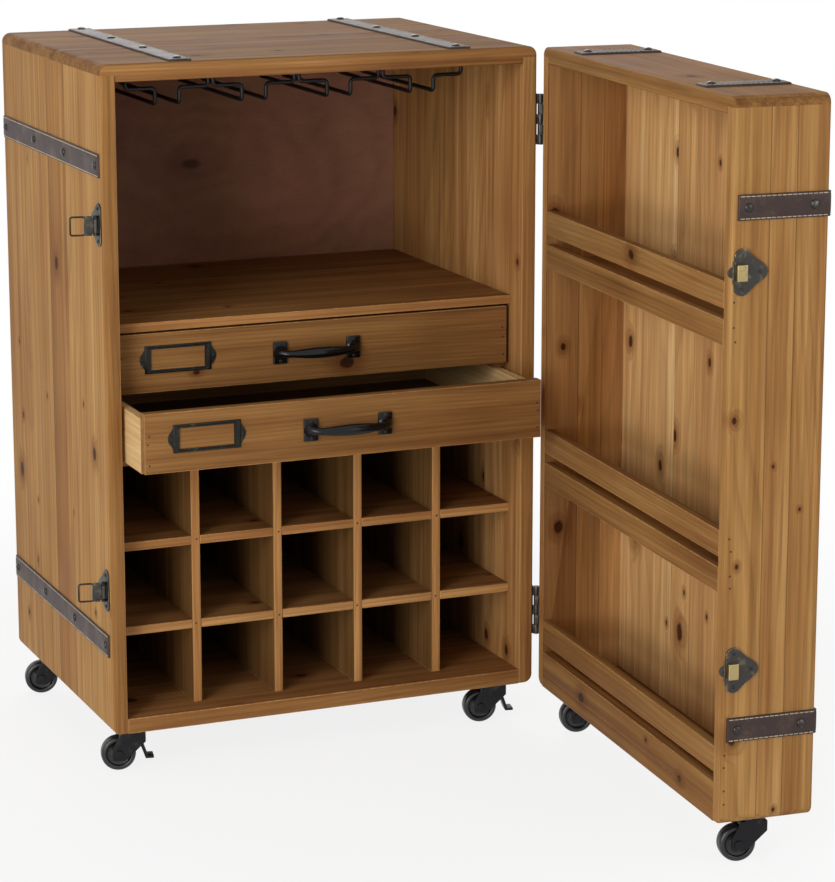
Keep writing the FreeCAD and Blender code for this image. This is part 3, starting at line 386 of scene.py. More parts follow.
stained("side", "Z", "Y", SIDE_PLANKS, knots=0.80, burl=0.8)
stained("right_side", "Z", "Y", RIGHT_PLANKS, knots=0.75, burl=0.9)
# The top takes the bottom's planks but darker: painted shade on the top board.
stained("top", "X", "Y", TOP_PLANKS, light=0.76, burl=0.8, seams=False, gloss=0.03)
stained("bottom", "X", "Y", TOP_PLANKS, light=0.92, seams=False)
stained("end", "X", "Y", one(0.52), light=0.82, knots=0.0)
stained("frame", "X", "Z", one(0.40), light=0.92, knots=0.2, burl=0.6)
stained("post", "Z", "X", one(0.40), light=0.92, knots=0.3, burl=0.6)
stained("shelf", "X", "Y", one(0.50), light=0.86, knots=0.3)
stained("rack", "X", "Y", one(0.44), light=0.76, knots=0.3, burl=0.7)
# The dividers are a much darker copy: painted shade for the inside of the rack's cells.
stained("divider", "Z", "Y", one(0.46), light=0.44, burl=0.7)
# The fronts of the shelves and the dividers are lighter copies: painted light on their set-back front edges.
stained("lip", "X", "Z", one(0.34), light=1.12, knots=0.0)
stained("stile", "Z", "X", one(0.30), light=1.22, knots=0.3, burl=0.5)
stained("runner", "Y", "X", one(0.42), knots=0.0)
stained("front", "X", "Z", one(0.46), light=0.80, knots=0.40, burl=0.8)
stained("drawer_side", "Y", "Z", one(-0.14), light=1.12, knots=0.3, burl=0.7, bleach=0.45)
stained("drawer_back", "X", "Z", one(0.18), knots=0.25, bleach=0.3)
stained("door_side", "Z", "Y", DOOR_SIDE_PLANKS, knots=0.75, burl=0.7)
# A lighter copy of the door sides' wood for the hinge side's inner face: painted light on a face that stands in
# shade.
stained("hinge_inner", "Z", "Y", DOOR_SIDE_PLANKS, light=1.22, knots=0.5, burl=0.7, bleach=0.12)
stained("door_cap", "X", "Y", one(0.46), light=0.92, knots=0.4)
stained("panel", "Z", "X", PANEL_PLANKS, light=1.34, knots=0.70, bleach=0.12)
stained("rail", "X", "Z", one(0.46), light=0.80, burl=0.8)
stained("edge", "Z", "Y", one(0.18), light=1.02, knots=0.0)
stained("edge_dark", "X", "Y", one(0.55), light=0.80, knots=0.2)
# The back's faces are lit and shaded copies of one ply: the inner one is lightened, painted light for the shaded
# inside of the carcass, and the outer one is darker and browner.
WOOD["back"] = ply("ply_back", "Z", (0.150, 0.070, 0.046), (0.430, 0.215, 0.140), (-0.03, 0.69))
WOOD["back_outer"] = ply("ply_back_outer", "Z", (0.150, 0.076, 0.034), (0.360, 0.196, 0.092), (0.11, 0.34))
WOOD["drawer_bottom"] = ply("ply_drawer", "Y", (0.170, 0.098, 0.052), (0.330, 0.200, 0.112), (0.1, -0.05))

IRON = metal("antique_iron", (0.052, 0.048, 0.044), (0.150, 0.122, 0.084), 0.38, 0.85)
# Paler iron for rims, some screws and pins: partly rubbed wear, partly a painted highlight along the rims.
IRON_WEAR_AND_HIGHLIGHT = metal("antique_iron_wear_and_highlight", (0.130, 0.108, 0.076), (0.36, 0.29, 0.19), 0.34, 0.90, 0.9)
BLACK_IRON = metal("black_iron", (0.016, 0.016, 0.018), (0.040, 0.039, 0.040), 0.21, 0.75, 0.3, lumps=0.012)
WIRE = metal("black_wire", (0.008, 0.008, 0.009), (0.022, 0.021, 0.020), 0.46, 0.35, 0.3, 2000.0, 0.05)
BRASS = metal("aged_brass", (0.40, 0.31, 0.145), (0.17, 0.115, 0.05), 0.38, 1.0)
NAIL = metal("antique_nail", (0.042, 0.039, 0.038), (0.14, 0.13, 0.12), 0.24, 0.85, lumps=0.03)
CARD_IRON = metal("card_iron", (0.020, 0.021, 0.018), (0.085, 0.078, 0.058), 0.36, 0.80, 0.4, lumps=0.05)
BRONZE = metal("latch_bronze", (0.040, 0.030, 0.020), (0.13, 0.10, 0.06), 0.34, 0.85, 0.4)
STEEL = metal("caster_steel", (0.011, 0.011, 0.013), (0.040, 0.039, 0.040), 0.38, 0.70, 0.4, lumps=0.05)
BRAD = metal("brad_head", (0.055, 0.020, 0.010), (0.085, 0.036, 0.018), 0.6, 0.1)
LEATHER = hide("strap_leather")
THREAD = thread("linen_thread")
RUBBER = dark_rubber("caster_rubber")


# Shapes

WELD, FLAT_ANGLE = 0.002 * MM, math.radians(0.6)
SEAT_PLAY = 0.1 * MM
RUB, BEVEL_STEPS, BEVEL_PROFILE = 0.6 * MM, 2, 0.6


def groups(members, beside):
    """Groups of members that are beside each other, always in one order."""
    left = dict.fromkeys(members)
    while left:
        group = [left.popitem()[0]]
        for member in group:
            for other in beside(member):
                if other in left:
                    del left[other]
                    group.append(other)
        yield group


def faces_beside(face):
    paired = [edge for edge in face.edges if len(edge.link_faces) == 2]
    return [other for edge in paired for other in edge.link_faces]


def points_beside(vert):
    return [edge.other_vert(vert) for edge in vert.link_edges]


def part_solids(made):
    """Parts solids that touch along an edge, where four faces meet, so that each is closed by itself."""
    for solid in list(groups(made.faces, faces_beside))[1:]:
        bmesh.ops.split(made, geom=solid)


def from_cad(node):
    """A CAD node's mesh, joined up and with its flat faces whole, in its body's frame."""
    made = bmesh.new()
    made.from_mesh(cad[node].data)
    bmesh.ops.remove_doubles(made, verts=made.verts, dist=WELD)
    part_solids(made)
    bmesh.ops.dissolve_limit(made, angle_limit=FLAT_ANGLE, verts=made.verts, edges=made.edges)
    made.transform(frame_of(body_of_node[node]).inverted())
    for face in made.faces:
        face.material_index = 0
    return made


def box_of(points):
    """The lowest and the highest corner of some points."""
    return [Vector([pick(p[k] for p in points) for k in range(3)]) for pick in (min, max)]


def soften(made, width, segments=BEVEL_STEPS, over=35.0, seat=None):
    """Bevels the sharp edges, in the second material. Edges that lie at a seat's height stay sharp."""
    limit = math.radians(over)
    sharp = [edge for edge in made.edges if edge.is_manifold and edge.calc_face_angle(0.0) > limit]
    if seat is not None:
        sharp = [e for e in sharp if any(abs(vert.co.z - seat) > SEAT_PLAY for vert in e.verts)]
    bmesh.ops.bevel(
        made, geom=sharp, offset=width, offset_type="OFFSET", segments=segments, profile=BEVEL_PROFILE,
        affect="EDGES", clamp_overlap=True, material=1,
    )


def islands(node):
    """The separate solids of a CAD node, each as its lowest and highest corner."""
    made = from_cad(node)
    boxes = [box_of([vert.co for vert in group]) for group in groups(made.verts, points_beside)]
    made.free()
    return sorted(boxes, key=lambda box: tuple(round(v, 5) for v in box[0]))


def piece(name, made, body, materials, slot=None, stands_for=(), sharp=40.0):
    """Makes an object of a mesh, and puts it on a body."""
    mesh = bpy.data.meshes.new(name)
    bmesh.ops.recalc_face_normals(made, faces=made.faces)
    made.to_mesh(mesh)
    made.free()
    for look in materials:
        mesh.materials.append(look)
    mesh.shade_smooth()
    mesh.set_sharp_from_angle(angle=math.radians(sharp))
    made_object = bpy.data.objects.new(name, mesh)
    bpy.context.scene.collection.objects.link(made_object)
    made_object.matrix_world = frame_of(body)
    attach(made_object, body)
    if stands_for:
        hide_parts(*stands_for)


def ring_of(made, points):
    return [made.verts.new(p) for p in points]


def circle(made, centre, first, second, radius, count):
    """A ring about a centre, in the plane of two directions."""
    turns = [2 * math.pi * k / count for k in range(count)]
    spokes = [first * math.cos(turn) + second * math.sin(turn) for turn in turns]
    return ring_of(made, [centre + spoke * radius for spoke in spokes])


def skin(made, rings, material=0, closed=False):
    """Faces between rings of equal count. The ends are filled, or joined to each other."""
    count = len(rings[0])
    for a, b in zip(rings, rings[1:] + rings[:1] if closed else rings[1:]):
        for k in range(count):
            face = made.faces.new((a[k], a[(k + 1) % count], b[(k + 1) % count], b[k]))
            face.material_index = material
    if not closed:
        made.faces.new(rings[0][::-1]).material_index = material
        made.faces.new(rings[-1]).material_index = material


def lathe(made, profile, centre, axis, count, material=0, closed=False):
    """Turns a profile of radius and height about an axis from a centre."""
    axis = axis.normalized()
    first = axis.cross(X_AXIS if abs(axis.x) < 0.9 else Y_AXIS).normalized()
    second = axis.cross(first)
    rings = [circle(made, centre + axis * h, first, second, r, count) for r, h in profile]
    skin(made, rings, material, closed)


DOME_STEPS, DOME_SINK = 6, 0.2 * MM
FOOT_SHARE, RIM_SHARE, TIP_SHARE = 0.90, 0.18, 0.05
SCREW_SINK, SCREW_SIDES = 0.3 * MM, 16
# A screw head's outline from its rim into its drive, as shares of its radius out and up
SCREW_SHARES = ((1.0, 0.25), (0.82, 0.48), (0.46, 0.55), (0.30, 0.05), (0.05, 0.0))


def dome(made, centre, axis, radius, height, count):
    """A domed head, a little undercut where it meets its seat."""
    profile = [(radius * FOOT_SHARE, -DOME_SINK), (radius, height * RIM_SHARE)]
    for step in range(1, DOME_STEPS):
        turn = math.pi / 2 * step / DOME_STEPS
        rise = RIM_SHARE + (1 - RIM_SHARE) * math.sin(turn)
        profile.append((radius * math.cos(turn), height * rise))
    profile.append((radius * TIP_SHARE, height))
    lathe(made, profile, centre, axis, count)


def screw(made, centre, axis, radius, material=0):
    """A round screw head with a sunk drive."""
    profile = [(radius, -SCREW_SINK)] + [(radius * a, radius * b) for a, b in SCREW_SHARES]
    lathe(made, profile, centre, axis, SCREW_SIDES, material)


def tube(made, points, radii, up, flat, count, material=0, closed=False):
    """A bar along points with a radius at each, flattened along a direction, or a closed loop."""
    rings = []
    last = len(points) - 1
    for number, point in enumerate(points):
        before = points[number - 1 if closed else max(number - 1, 0)]
        after = points[(number + 1) % len(points) if closed else min(number + 1, last)]
        heading = (after - before).normalized()
        lift = (up - heading * up.dot(heading)).normalized()
        rings.append(circle(made, point, lift * flat, heading.cross(lift), radii[number], count))
    skin(made, rings, material, closed)


def in_metres(points):
    return [(a * MM, b * MM) for a, b in points]


def mirrored(half):
    """Half an outline and, back from its end, its image. A point on the middle line comes once."""
    return [*half, *((a, -b) for a, b in half[::-1] if b)]


def plate(made, outline, base, u, v, out, thickness, rub=RUB):
    """A plate from an outline in millimetres, with its upper edge rubbed round in the second material."""
    points = [base + u * a + v * b for a, b in in_metres(outline)]
    low = ring_of(made, points)
    high = ring_of(made, [point + out * thickness for point in points])
    skin(made, [low, high])
    rim = [made.edges.get((vert, high[(k + 1) % len(high)])) for k, vert in enumerate(high)]
    bmesh.ops.bevel(
        made, geom=rim, offset=rub, offset_type="OFFSET", segments=BEVEL_STEPS, profile=BEVEL_PROFILE,
        affect="EDGES", clamp_overlap=True, material=1,
    )


def mitred_frame(made, half_u, half_v, section, base, u, v, out):
    """A frame about a window. Each section point is how far in it is along u and v, and how high."""
    loops = []
    for inset_u, inset_v, height in section:
        corners = ((-1, -1), (1, -1), (1, 1), (-1, 1))
        reach_u, reach_v = half_u - inset_u * MM, half_v - inset_v * MM
        points = [base + u * (a * reach_u) + v * (b * reach_v) + out * (height * MM) for a, b in corners]
        loops.append(ring_of(made, points))
    skin(made, loops, closed=True)


def arc(centre, radius, first, last, steps):
    """Points in millimetres on a circle, from one angle to another in degrees."""
    points = []
    for step in range(steps + 1):
        turn = math.radians(first + (last - first) * step / steps)
        points.append((centre[0] + radius * math.cos(turn), centre[1] + radius * math.sin(turn)))
    return points


# Wooden boards, taken from the solids with their edges rubbed round

EDGE_WEAR = 1.3 * MM
FINE_WEAR = 0.8 * MM
SLIDE_CLEARANCE = 0.3 * MM
WAYS = {"left": -X_AXIS, "right": X_AXIS, "front": -Y_AXIS, "back": Y_AXIS}
LOOKS_ALONG = 0.7


def board(node, wood, edge="edge", width=FINE_WEAR, slot="pine", seat=None, drop=0.0, **faces):
    """A board. Faces that look one of the ways take the wood that is given for that way.

    A drop lowers its upper side, so that a drawer clears it.
    """
    made = from_cad(node)
    soften(made, width, seat=seat)
    middle = sum(vert.co.z for vert in made.verts) / len(made.verts)
    for vert in made.verts:
        if vert.co.z > middle:
            vert.co.z -= drop
    made.normal_update()
    woods = [wood, edge]
    for way, other in faces.items():
        woods.append(other)
        for face in made.faces:
            if face.material_index == 0 and face.normal.dot(WAYS[way]) > LOOKS_ALONG:
                face.material_index = len(woods) - 1
    materials = [WOOD[name] for name in woods]
    piece(node + "_board", made, body_of_node[node], materials, slot, (node,))


ceiling = islands("left_side")[0][1].z
door_ceiling = islands("door_free_side")[0][1].z
ENDS = {"left": "end", "right": "end"}

board("left_side", "side", width=EDGE_WEAR, front="post", seat=ceiling)
board("right_side", "right_side", width=EDGE_WEAR, front="post", seat=ceiling)
board("top_board", "top", "edge_dark", EDGE_WEAR, seat=ceiling, **ENDS, front="frame", back="frame")
board("bottom_board", "bottom", width=EDGE_WEAR, front="frame")
board("back_panel", "back", "edge_dark", slot="plywood", back="back_outer")
# The fronts of the shelves and the dividers take the lighter copies, painted light.
board("rack_top", "rack", front="lip")
board("drawer_shelf", "shelf", front="lip")
board("rack_shelves", "rack", front="lip")
for node in DIVIDERS:
    board(node, "divider", front="stile")
board("drawer_runners", "runner", drop=SLIDE_CLEARANCE)
for drawer in DRAWERS:
    board(f"{drawer}_front", "front")
    board(f"{drawer}_box", "drawer_side", front="drawer_back", back="drawer_back")
    board(f"{drawer}_bottom", "drawer_bottom", "edge_dark", slot="plywood")
board("door_free_side", "door_side", width=EDGE_WEAR, seat=door_ceiling)
# Its inner face takes the lighter copy: painted light.
board("door_hinge_side", "door_side", width=EDGE_WEAR, seat=door_ceiling, left="hinge_inner")
board("door_top", "door_cap", "edge_dark", EDGE_WEAR, seat=door_ceiling, **ENDS, front="rail", back="rail")
board("door_bottom", "door_cap", "rail", back="rail", front="rail")
board("door_panel", "panel")
for node in ("door_shelves", "door_fascias", "door_guard_rails"):
    board(node, "rail")


# Small brads that hold the drawer fronts and the rails

BRAD_RADIUS, BRAD_HEIGHT = 1.3 * MM, 0.3 * MM
BRAD_STRAY, BRAD_SIDES = 1.5 * MM, 10
FRONT_BRAD_INSET, RAIL_BRAD_INSET = 5 * MM, 5.5 * MM
FRONT_BRAD_SHARES, RAIL_BRAD_SHARES = (0.16, 0.48, 0.62), (0.28, 0.76)


def brads(name, body, points, out):
    made = bmesh.new()
    draw = random.Random(name)
    for point in points:
        stray = Vector([draw.uniform(-BRAD_STRAY, BRAD_STRAY) for _ in range(3)])
        dome(made, point + stray - out * stray.dot(out), out, BRAD_RADIUS, BRAD_HEIGHT, BRAD_SIDES)
    piece(name, made, body, [BRAD], "iron")


for drawer in DRAWERS:
    low, high = islands(drawer + "_front")[0]
    heights = [low.z + (high.z - low.z) * share for share in FRONT_BRAD_SHARES]
    ends = (low.x + FRONT_BRAD_INSET, high.x - FRONT_BRAD_INSET)
    brads(drawer + "_brads", drawer, [Vector((x, low.y, z)) for x in ends for z in heights], -Y_AXIS)
crossings = [
    Vector(((a.x + b.x) / 2, a.y, (c.z + d.z) / 2))
    for node in DIVIDERS for a, b in islands(node) for c, d in islands("rack_shelves")]
brads("rack_brads", "cabinet", crossings, -Y_AXIS)
low, high = islands("door_free_side")[0]
rail_boxes = islands("door_fascias") + islands("door_guard_rails")
spots = [
    Vector((low.x, high.y - RAIL_BRAD_INSET, a.z + (b.z - a.z) * share))
    for a, b in rail_boxes for share in RAIL_BRAD_SHARES]
brads("door_rail_brads", "door", spots, -X_AXIS)


# Leather straps with stitched edges, and domed nails

STITCH_LENGTH = 5.4 * MM
STITCH_PITCH = 6.1 * MM
STITCH_INSET = 2.0 * MM
STITCH_RADIUS, STITCH_FLATNESS, STITCH_SIDES = 0.58 * MM, 0.8, 6
# Along a stitch: the share of its length, its rise in millimetres and the share of its radius
STITCH_COURSE = (
    (-0.5, -0.45, 0.6), (-0.38, 0.1, 1.0), (-0.15, 0.32, 1.0),
    (0.15, 0.32, 1.0), (0.38, 0.1, 1.0), (0.5, -0.45, 0.6))
STRAP_THICKNESS, STRAP_STEP, LEAST_STEPS = 2.5 * MM, 12 * MM, 4
CHANNEL_SHARE, CROWN_SHARE = 0.88, 1.07
STRAP_SECTION = (
    (0.0, 0.0), (0.0, 0.62), (0.3, 0.90), (0.8, 1.0), (1.4, 0.98),
    (1.9, CHANNEL_SHARE), (2.5, CHANNEL_SHARE), (3.1, 1.0), (6.0, 1.05))
STRAP_ENDS = ((0.0, 0.30), (0.5, 0.85), (1.4, 1.0))
TURN_RADIUS, TURN_STEPS = 2.0 * MM, 5
NAIL_RADIUS, NAIL_HEIGHT, NAIL_SIDES = 5.2 * MM, 2.9 * MM, 20


def stitch_line(made, start, end, out):
    """Separate stitches along a line, each a small rounded bar that dives at its ends."""
    length = (end - start).length
    heading = (end - start).normalized()
    count = max(1, round(length / STITCH_PITCH))
    pitch = length / count
    for number in range(count):
        middle = start + heading * (pitch * (number + 0.5))
        points = [middle + heading * (STITCH_LENGTH * a) + out * (up * MM) for a, up, _ in STITCH_COURSE]
        radii = [STITCH_RADIUS * share for _, _, share in STITCH_COURSE]
        tube(made, points, radii, out, STITCH_FLATNESS, STITCH_SIDES)


def straight_run(start, end, out):
    """Points every so often along a line, each with the way that the strap faces there."""
    count = max(LEAST_STEPS, round((end - start).length / STRAP_STEP))
    return [(start.lerp(end, k / count), out) for k in range(count + 1)]


def corner_run(corner, out, then):
    """A turn about a corner of the wood, from facing one way to facing the next."""
    centre = corner - (out + then) * TURN_RADIUS
    stations = []
    for step in range(1, TURN_STEPS):
        turn = math.pi / 2 * step / TURN_STEPS
        way = (out * math.cos(turn) + then * math.sin(turn)).normalized()
        stations.append((centre + way * TURN_RADIUS, way))
    return stations


def strap_stations(legs):
    """The whole course of a strap. Each leg is its start, its end and the way that it faces."""
    stations = []
    for number, (start, end, out) in enumerate(legs):
        if number:
            last_start, last_end, last_out = legs[number - 1]
            corner = last_end + (last_end - last_start).normalized() * TURN_RADIUS
            stations += corner_run(corner, last_out, out)
        stations += straight_run(start, end, out)
    first, last = stations[0], stations[-1]
    heading = (stations[1][0] - first[0]).normalized()
    tail = (stations[-2][0] - last[0]).normalized()
    course = [(first[0] + heading * (s * MM), first[1], share) for s, share in STRAP_ENDS]
    course += [(point, out, 1.0) for point, out in stations[1:-1]]
    course += [(last[0] + tail * (s * MM), last[1], share) for s, share in STRAP_ENDS[::-1]]
    return course


def sew_strap(leather, threads, legs, across, half):
    """A strap along one or two straight legs: crowned, with a welt and a sewn channel at each edge."""
    left = [(-half + inset * MM, height * STRAP_THICKNESS) for inset, height in STRAP_SECTION]
    outline = left + [(0.0, CROWN_SHARE * STRAP_THICKNESS)] + [(-a, h) for a, h in left[::-1]]
    rings = []
    for point, out, share in strap_stations(legs):
        rings.append(ring_of(leather, [point + across * a + out * (h * share) for a, h in outline]))
    skin(leather, rings)
    inner = half - STITCH_INSET
    for number, (start, end, out) in enumerate(legs):
        heading = (end - start).normalized()
        lift = out * (CHANNEL_SHARE * STRAP_THICKNESS)
        first = start + lift + heading * (STITCH_INSET if number == 0 else 0.0)
        last = end + lift - heading * (STITCH_INSET if number == len(legs) - 1 else 0.0)
        for side in (-1, 1):
            stitch_line(threads, first + across * (side * inner), last + across * (side * inner), out)


def facing(low, high):
    """Which way a strap or nail faces: up on a top board, otherwise out of the face that it is on."""
    size = high - low
    thin = min(range(3), key=lambda k: size[k])
    return (X_AXIS if low.x > 0 else -X_AXIS, -Y_AXIS, Z_AXIS)[thin]


def strap_legs(low, high):
    """A strap's straight legs, the way across it and half its width, from the box of its solid."""
    size = high - low
    middle = (low + high) / 2
    if min(size) > 2 * STRAP_THICKNESS:
        side_x, face_y = low.x + STRAP_THICKNESS, low.y + STRAP_THICKNESS
        turn_x, turn_y = side_x + TURN_RADIUS, face_y + TURN_RADIUS
        side = (Vector((side_x, high.y, middle.z)), Vector((side_x, turn_y, middle.z)), -X_AXIS)
        face = (Vector((turn_x, face_y, middle.z)), Vector((high.x, face_y, middle.z)), -Y_AXIS)
        return [side, face], Z_AXIS, size.z / 2
    out = facing(low, high)
    base = middle - out * (STRAP_THICKNESS / 2)
    run = Y_AXIS * (size.y / 2)
    across = X_AXIS if out is Z_AXIS else Z_AXIS
    return [(base - run, base + run, out)], across, size.dot(across) / 2


def straps_of(prefix, body):
    strap_node, nail_node = prefix + "straps", prefix + "strap_nails"
    leather, threads, heads = bmesh.new(), bmesh.new(), bmesh.new()
    for low, high in islands(strap_node):
        sew_strap(leather, threads, *strap_legs(low, high))
    for low, high in islands(nail_node):
        out = facing(low, high)
        middle = (low + high) / 2
        base = middle - out * (abs((high - low).dot(out)) / 2)
        dome(heads, base, out, NAIL_RADIUS, NAIL_HEIGHT, NAIL_SIDES)
    piece(prefix + "strap_leather", leather, body, [LEATHER], "leather", (strap_node,), 60.0)
    piece(prefix + "strap_stitching", threads, body, [THREAD], sharp=60.0)
    piece(prefix + "strap_nail_heads", heads, body, [NAIL], "iron", (nail_node,), 50.0)


straps_of("", "cabinet")
straps_of("door_", "door")


# Drawer pulls: a cast bow that swells in the middle and flares at its feet

PULL_HALF, BOW_SIDES = 48.0, 18
# Half the bow, from a foot to the middle: out along the drawer, out from it, and the radius there
BOW = (
    (PULL_HALF, 2.2, 9.4), (PULL_HALF, 4.2, 8.0), (47.6, 7.0, 6.3), (45.8, 10.4, 5.1), (42.0, 13.4, 4.5),
    (36.5, 15.6, 4.5), (29.0, 17.0, 5.2), (20.0, 17.8, 6.1), (10.0, 18.2, 6.7), (0.0, 18.3, 6.9))
FOOT = ((-9, -13), (-8, -14), (8, -14), (9, -13), (9, 13), (8, 14), (-8, 14), (-9, 13))
FOOT_THICKNESS, FOOT_RUB = 2.6 * MM, 1.0 * MM
FOOT_SCREW_RISE, FOOT_SCREW_SEAT, FOOT_SCREW_RADIUS = 10.2 * MM, 2.5 * MM, 2.3 * MM


def seat_of(node):
    """The middle of a fitting's back, where it meets the drawer's front."""
    low, high = islands(node)[0]
    return Vector(((low.x + high.x) / 2, high.y, (low.z + high.z) / 2))


def pull(drawer):
    seat = seat_of(drawer + "_pull")
    made = bmesh.new()
    course = [(-x, reach, radius) for x, reach, radius in BOW] + list(BOW[-2::-1])
    points = [seat + X_AXIS * (x * MM) - Y_AXIS * (reach * MM) for x, reach, _ in course]
    tube(made, points, [radius * MM for _, _, radius in course], Z_AXIS, 1.0, BOW_SIDES)
    for side in (-1, 1):
        foot = seat + X_AXIS * (side * PULL_HALF * MM)
        plate(made, FOOT, foot, X_AXIS, Z_AXIS, -Y_AXIS, FOOT_THICKNESS, FOOT_RUB)
        for z in (-FOOT_SCREW_RISE, FOOT_SCREW_RISE):
            screw(made, foot + Z_AXIS * z - Y_AXIS * FOOT_SCREW_SEAT, -Y_AXIS, FOOT_SCREW_RADIUS, 1)
    piece(drawer + "_pull_cast", made, drawer, [BLACK_IRON, IRON], "iron", (drawer + "_pull",))


# Card holders: a rolled frame with a shaped screw ear at each end

CARD_HALF_WIDTH, CARD_HALF_HEIGHT = 42 * MM, 17 * MM
CARD_SECTION = (
    (0.0, 0.0, 0.0), (0.0, 0.0, 1.5), (0.6, 0.5, 2.1), (2.2, 1.5, 2.4),
    (4.8, 2.6, 1.5), (6.4, 3.4, 2.1), (7.4, 4.2, 1.9), (7.8, 4.4, 0.0))
EAR_THICKNESS, EAR_RUB = 1.4 * MM, 0.5 * MM
EAR_SCREW_OUT, EAR_SCREW_SEAT, EAR_SCREW_RADIUS = 2.4 * MM, 1.3 * MM, 2.0 * MM
EAR = ((-1.0, -12.5), (0.8, -11.6), (1.4, -9.6), (2.2, -8.2), (4.2, -6.6), (5.8, -3.6), (6.3, 0.0))


def card_holder(drawer):
    seat = seat_of(drawer + "_card_holder")
    made = bmesh.new()
    mitred_frame(made, CARD_HALF_WIDTH, CARD_HALF_HEIGHT, CARD_SECTION, seat, X_AXIS, Z_AXIS, -Y_AXIS)
    for side in (-1, 1):
        root = seat + X_AXIS * (side * CARD_HALF_WIDTH)
        plate(made, mirrored(EAR), root, X_AXIS * side, Z_AXIS, -Y_AXIS, EAR_THICKNESS, EAR_RUB)
        spot = root + X_AXIS * (side * EAR_SCREW_OUT) - Y_AXIS * EAR_SCREW_SEAT
        screw(made, spot, -Y_AXIS, EAR_SCREW_RADIUS, 1)
    piece(drawer + "_card_frame", made, drawer, [CARD_IRON, IRON], "iron", (drawer + "_card_holder",))


for drawer in DRAWERS:
    pull(drawer)
    card_holder(drawer)


# Latches: lobed plates with a screw in each lobe, hasps on the carcass, brass hooks on the door

LOBE, NOSE = (9.5, 16.5), (30.5, 0.0)
LOBE_RADIUS, NOSE_RADIUS = 9.5, 8.5
FLANK = ((20.6, 17.6), (24.5, 14.6), (29.0, 12.0), (32.5, 9.6))
LOBE_SCREW = (9.5, 19.5)
PLATE_THICKNESS, PLATE_RUB = 2.0 * MM, 0.5 * MM
PLATE_SCREW_SEAT, PLATE_SCREW_RADIUS = 1.8 * MM, 2.3 * MM
# From the plate's broad end, round the upper lobe to the nose
UPPER_LOBE = arc(LOBE, LOBE_RADIUS, 180, 25, 12) + list(FLANK) + arc(NOSE, NOSE_RADIUS, 62, 0, 7)


def lobed_plate(made, base, u, out):
    plate(made, mirrored(UPPER_LOBE), base, u, Z_AXIS, out, PLATE_THICKNESS, PLATE_RUB)
    for a, b in (LOBE_SCREW, (LOBE_SCREW[0], -LOBE_SCREW[1]), NOSE):
        spot = base + u * (a * MM) + Z_AXIS * (b * MM) + out * PLATE_SCREW_SEAT
        screw(made, spot, out, PLATE_SCREW_RADIUS)


ROD_EASE, ROD_SIDES = 0.18, 20


def rod(made, start, end, radius, material=0):
    """A round bar with eased ends."""
    length = (end - start).length
    ease = ROD_EASE * radius
    profile = [(radius - ease, 0.0), (radius, ease), (radius, length - ease), (radius - ease, length)]
    lathe(made, profile, start, end - start, ROD_SIDES, material)


LUG_NEAR, LUG_FAR, LUG_RADIUS = 8.8 * MM, 12.0 * MM, 3.2 * MM
PLATE_SETBACK = 3.0 * MM
WEB = ((-1.6, 0.0), (1.6, 0.0), (1.6, 5.6), (-1.6, 5.6))
WEB_RUB, LATCH_PIN_RADIUS = 0.3 * MM, 1.5 * MM


def carcass_latches():
    made = bmesh.new()
    wall = islands("left_side")[0][0]
    for where in ("upper", "lower"):
        axis_point = Vector(joints[where + "_hasp_hinge"]["pos_m"])
        lobed_plate(made, Vector((wall.x, wall.y + PLATE_SETBACK, axis_point.z)), Y_AXIS, -X_AXIS)
        for side in (-1, 1):
            near, far = (axis_point + Z_AXIS * (side * z) for z in (LUG_NEAR, LUG_FAR))
            rod(made, near, far, LUG_RADIUS)
            plate(made, WEB, near, Y_AXIS, X_AXIS, Z_AXIS * side, LUG_FAR - LUG_NEAR, WEB_RUB)
        rod(made, axis_point - Z_AXIS * LUG_FAR, axis_point + Z_AXIS * LUG_FAR, LATCH_PIN_RADIUS, 1)
    # The plates' rims and the pins take the paler iron: wear and a painted highlight.
    piece("latch_plates_lobed", made, "cabinet", [CARD_IRON, IRON_WEAR_AND_HIGHLIGHT], "iron", ("latch_plates",))


KEEPER = ((0.0, -12.0), (3.4, -12.0), (3.4, 12.0), (0.0, 12.0))
KEEPER_HEIGHT, KEEPER_SEAT, KEEPER_GAP = 1.3 * MM, 1.8 * MM, 0.2 * MM
TONGUE = ((5.4, 0.0), (6.0, 0.5), (6.0, 1.6), (5.3, 2.2), (0.2, 2.3))
TONGUE_INSET, TURNED_SIDES = 1.0 * MM, 28


def door_catches():
    made = bmesh.new()
    wall = islands("door_free_side")[0]
    for low, high in islands("latch_hooks"):
        middle = (low + high) / 2
        face = Vector((wall[0].x, wall[1].y, middle.z))
        lobed_plate(made, face - Y_AXIS * PLATE_SETBACK, -Y_AXIS, -X_AXIS)
        keeper = Vector((wall[0].x - KEEPER_SEAT, high.y + KEEPER_GAP, middle.z))
        plate(made, KEEPER, keeper, Y_AXIS, Z_AXIS, -X_AXIS, KEEPER_HEIGHT)
        lathe(made, in_metres(TONGUE), face - Y_AXIS * TONGUE_INSET, -X_AXIS, TURNED_SIDES)
    # The plates' rims take the paler iron: wear and a painted highlight.
    piece("latch_catches_lobed", made, "door", [IRON, IRON_WEAR_AND_HIGHLIGHT], "iron", ("latch_catches",))


WIRE_RADIUS, WIRE_BEND, WIRE_SIDES, BEND_STEPS = 1.15, 2.6, 10, 4
KNUCKLE_HALF, ARM_HALF, ARM_HALF_THICKNESS = 8.4, 11.6, 1.0
BORE_RADIUS, KNUCKLE_EASE, ARM_SINK, ARM_FLARE = 1.75, 0.5, 0.4, 0.8
CHEEK_WIDTH, CHEEK_RISE, CHEEK_START, CHEEK_END = 2.0, 1.5, 4.6, 11.6
CHEEK_SEAT, CHEEK_RUB = 0.7, 0.4 * MM
HASP_LOOP = 17.1


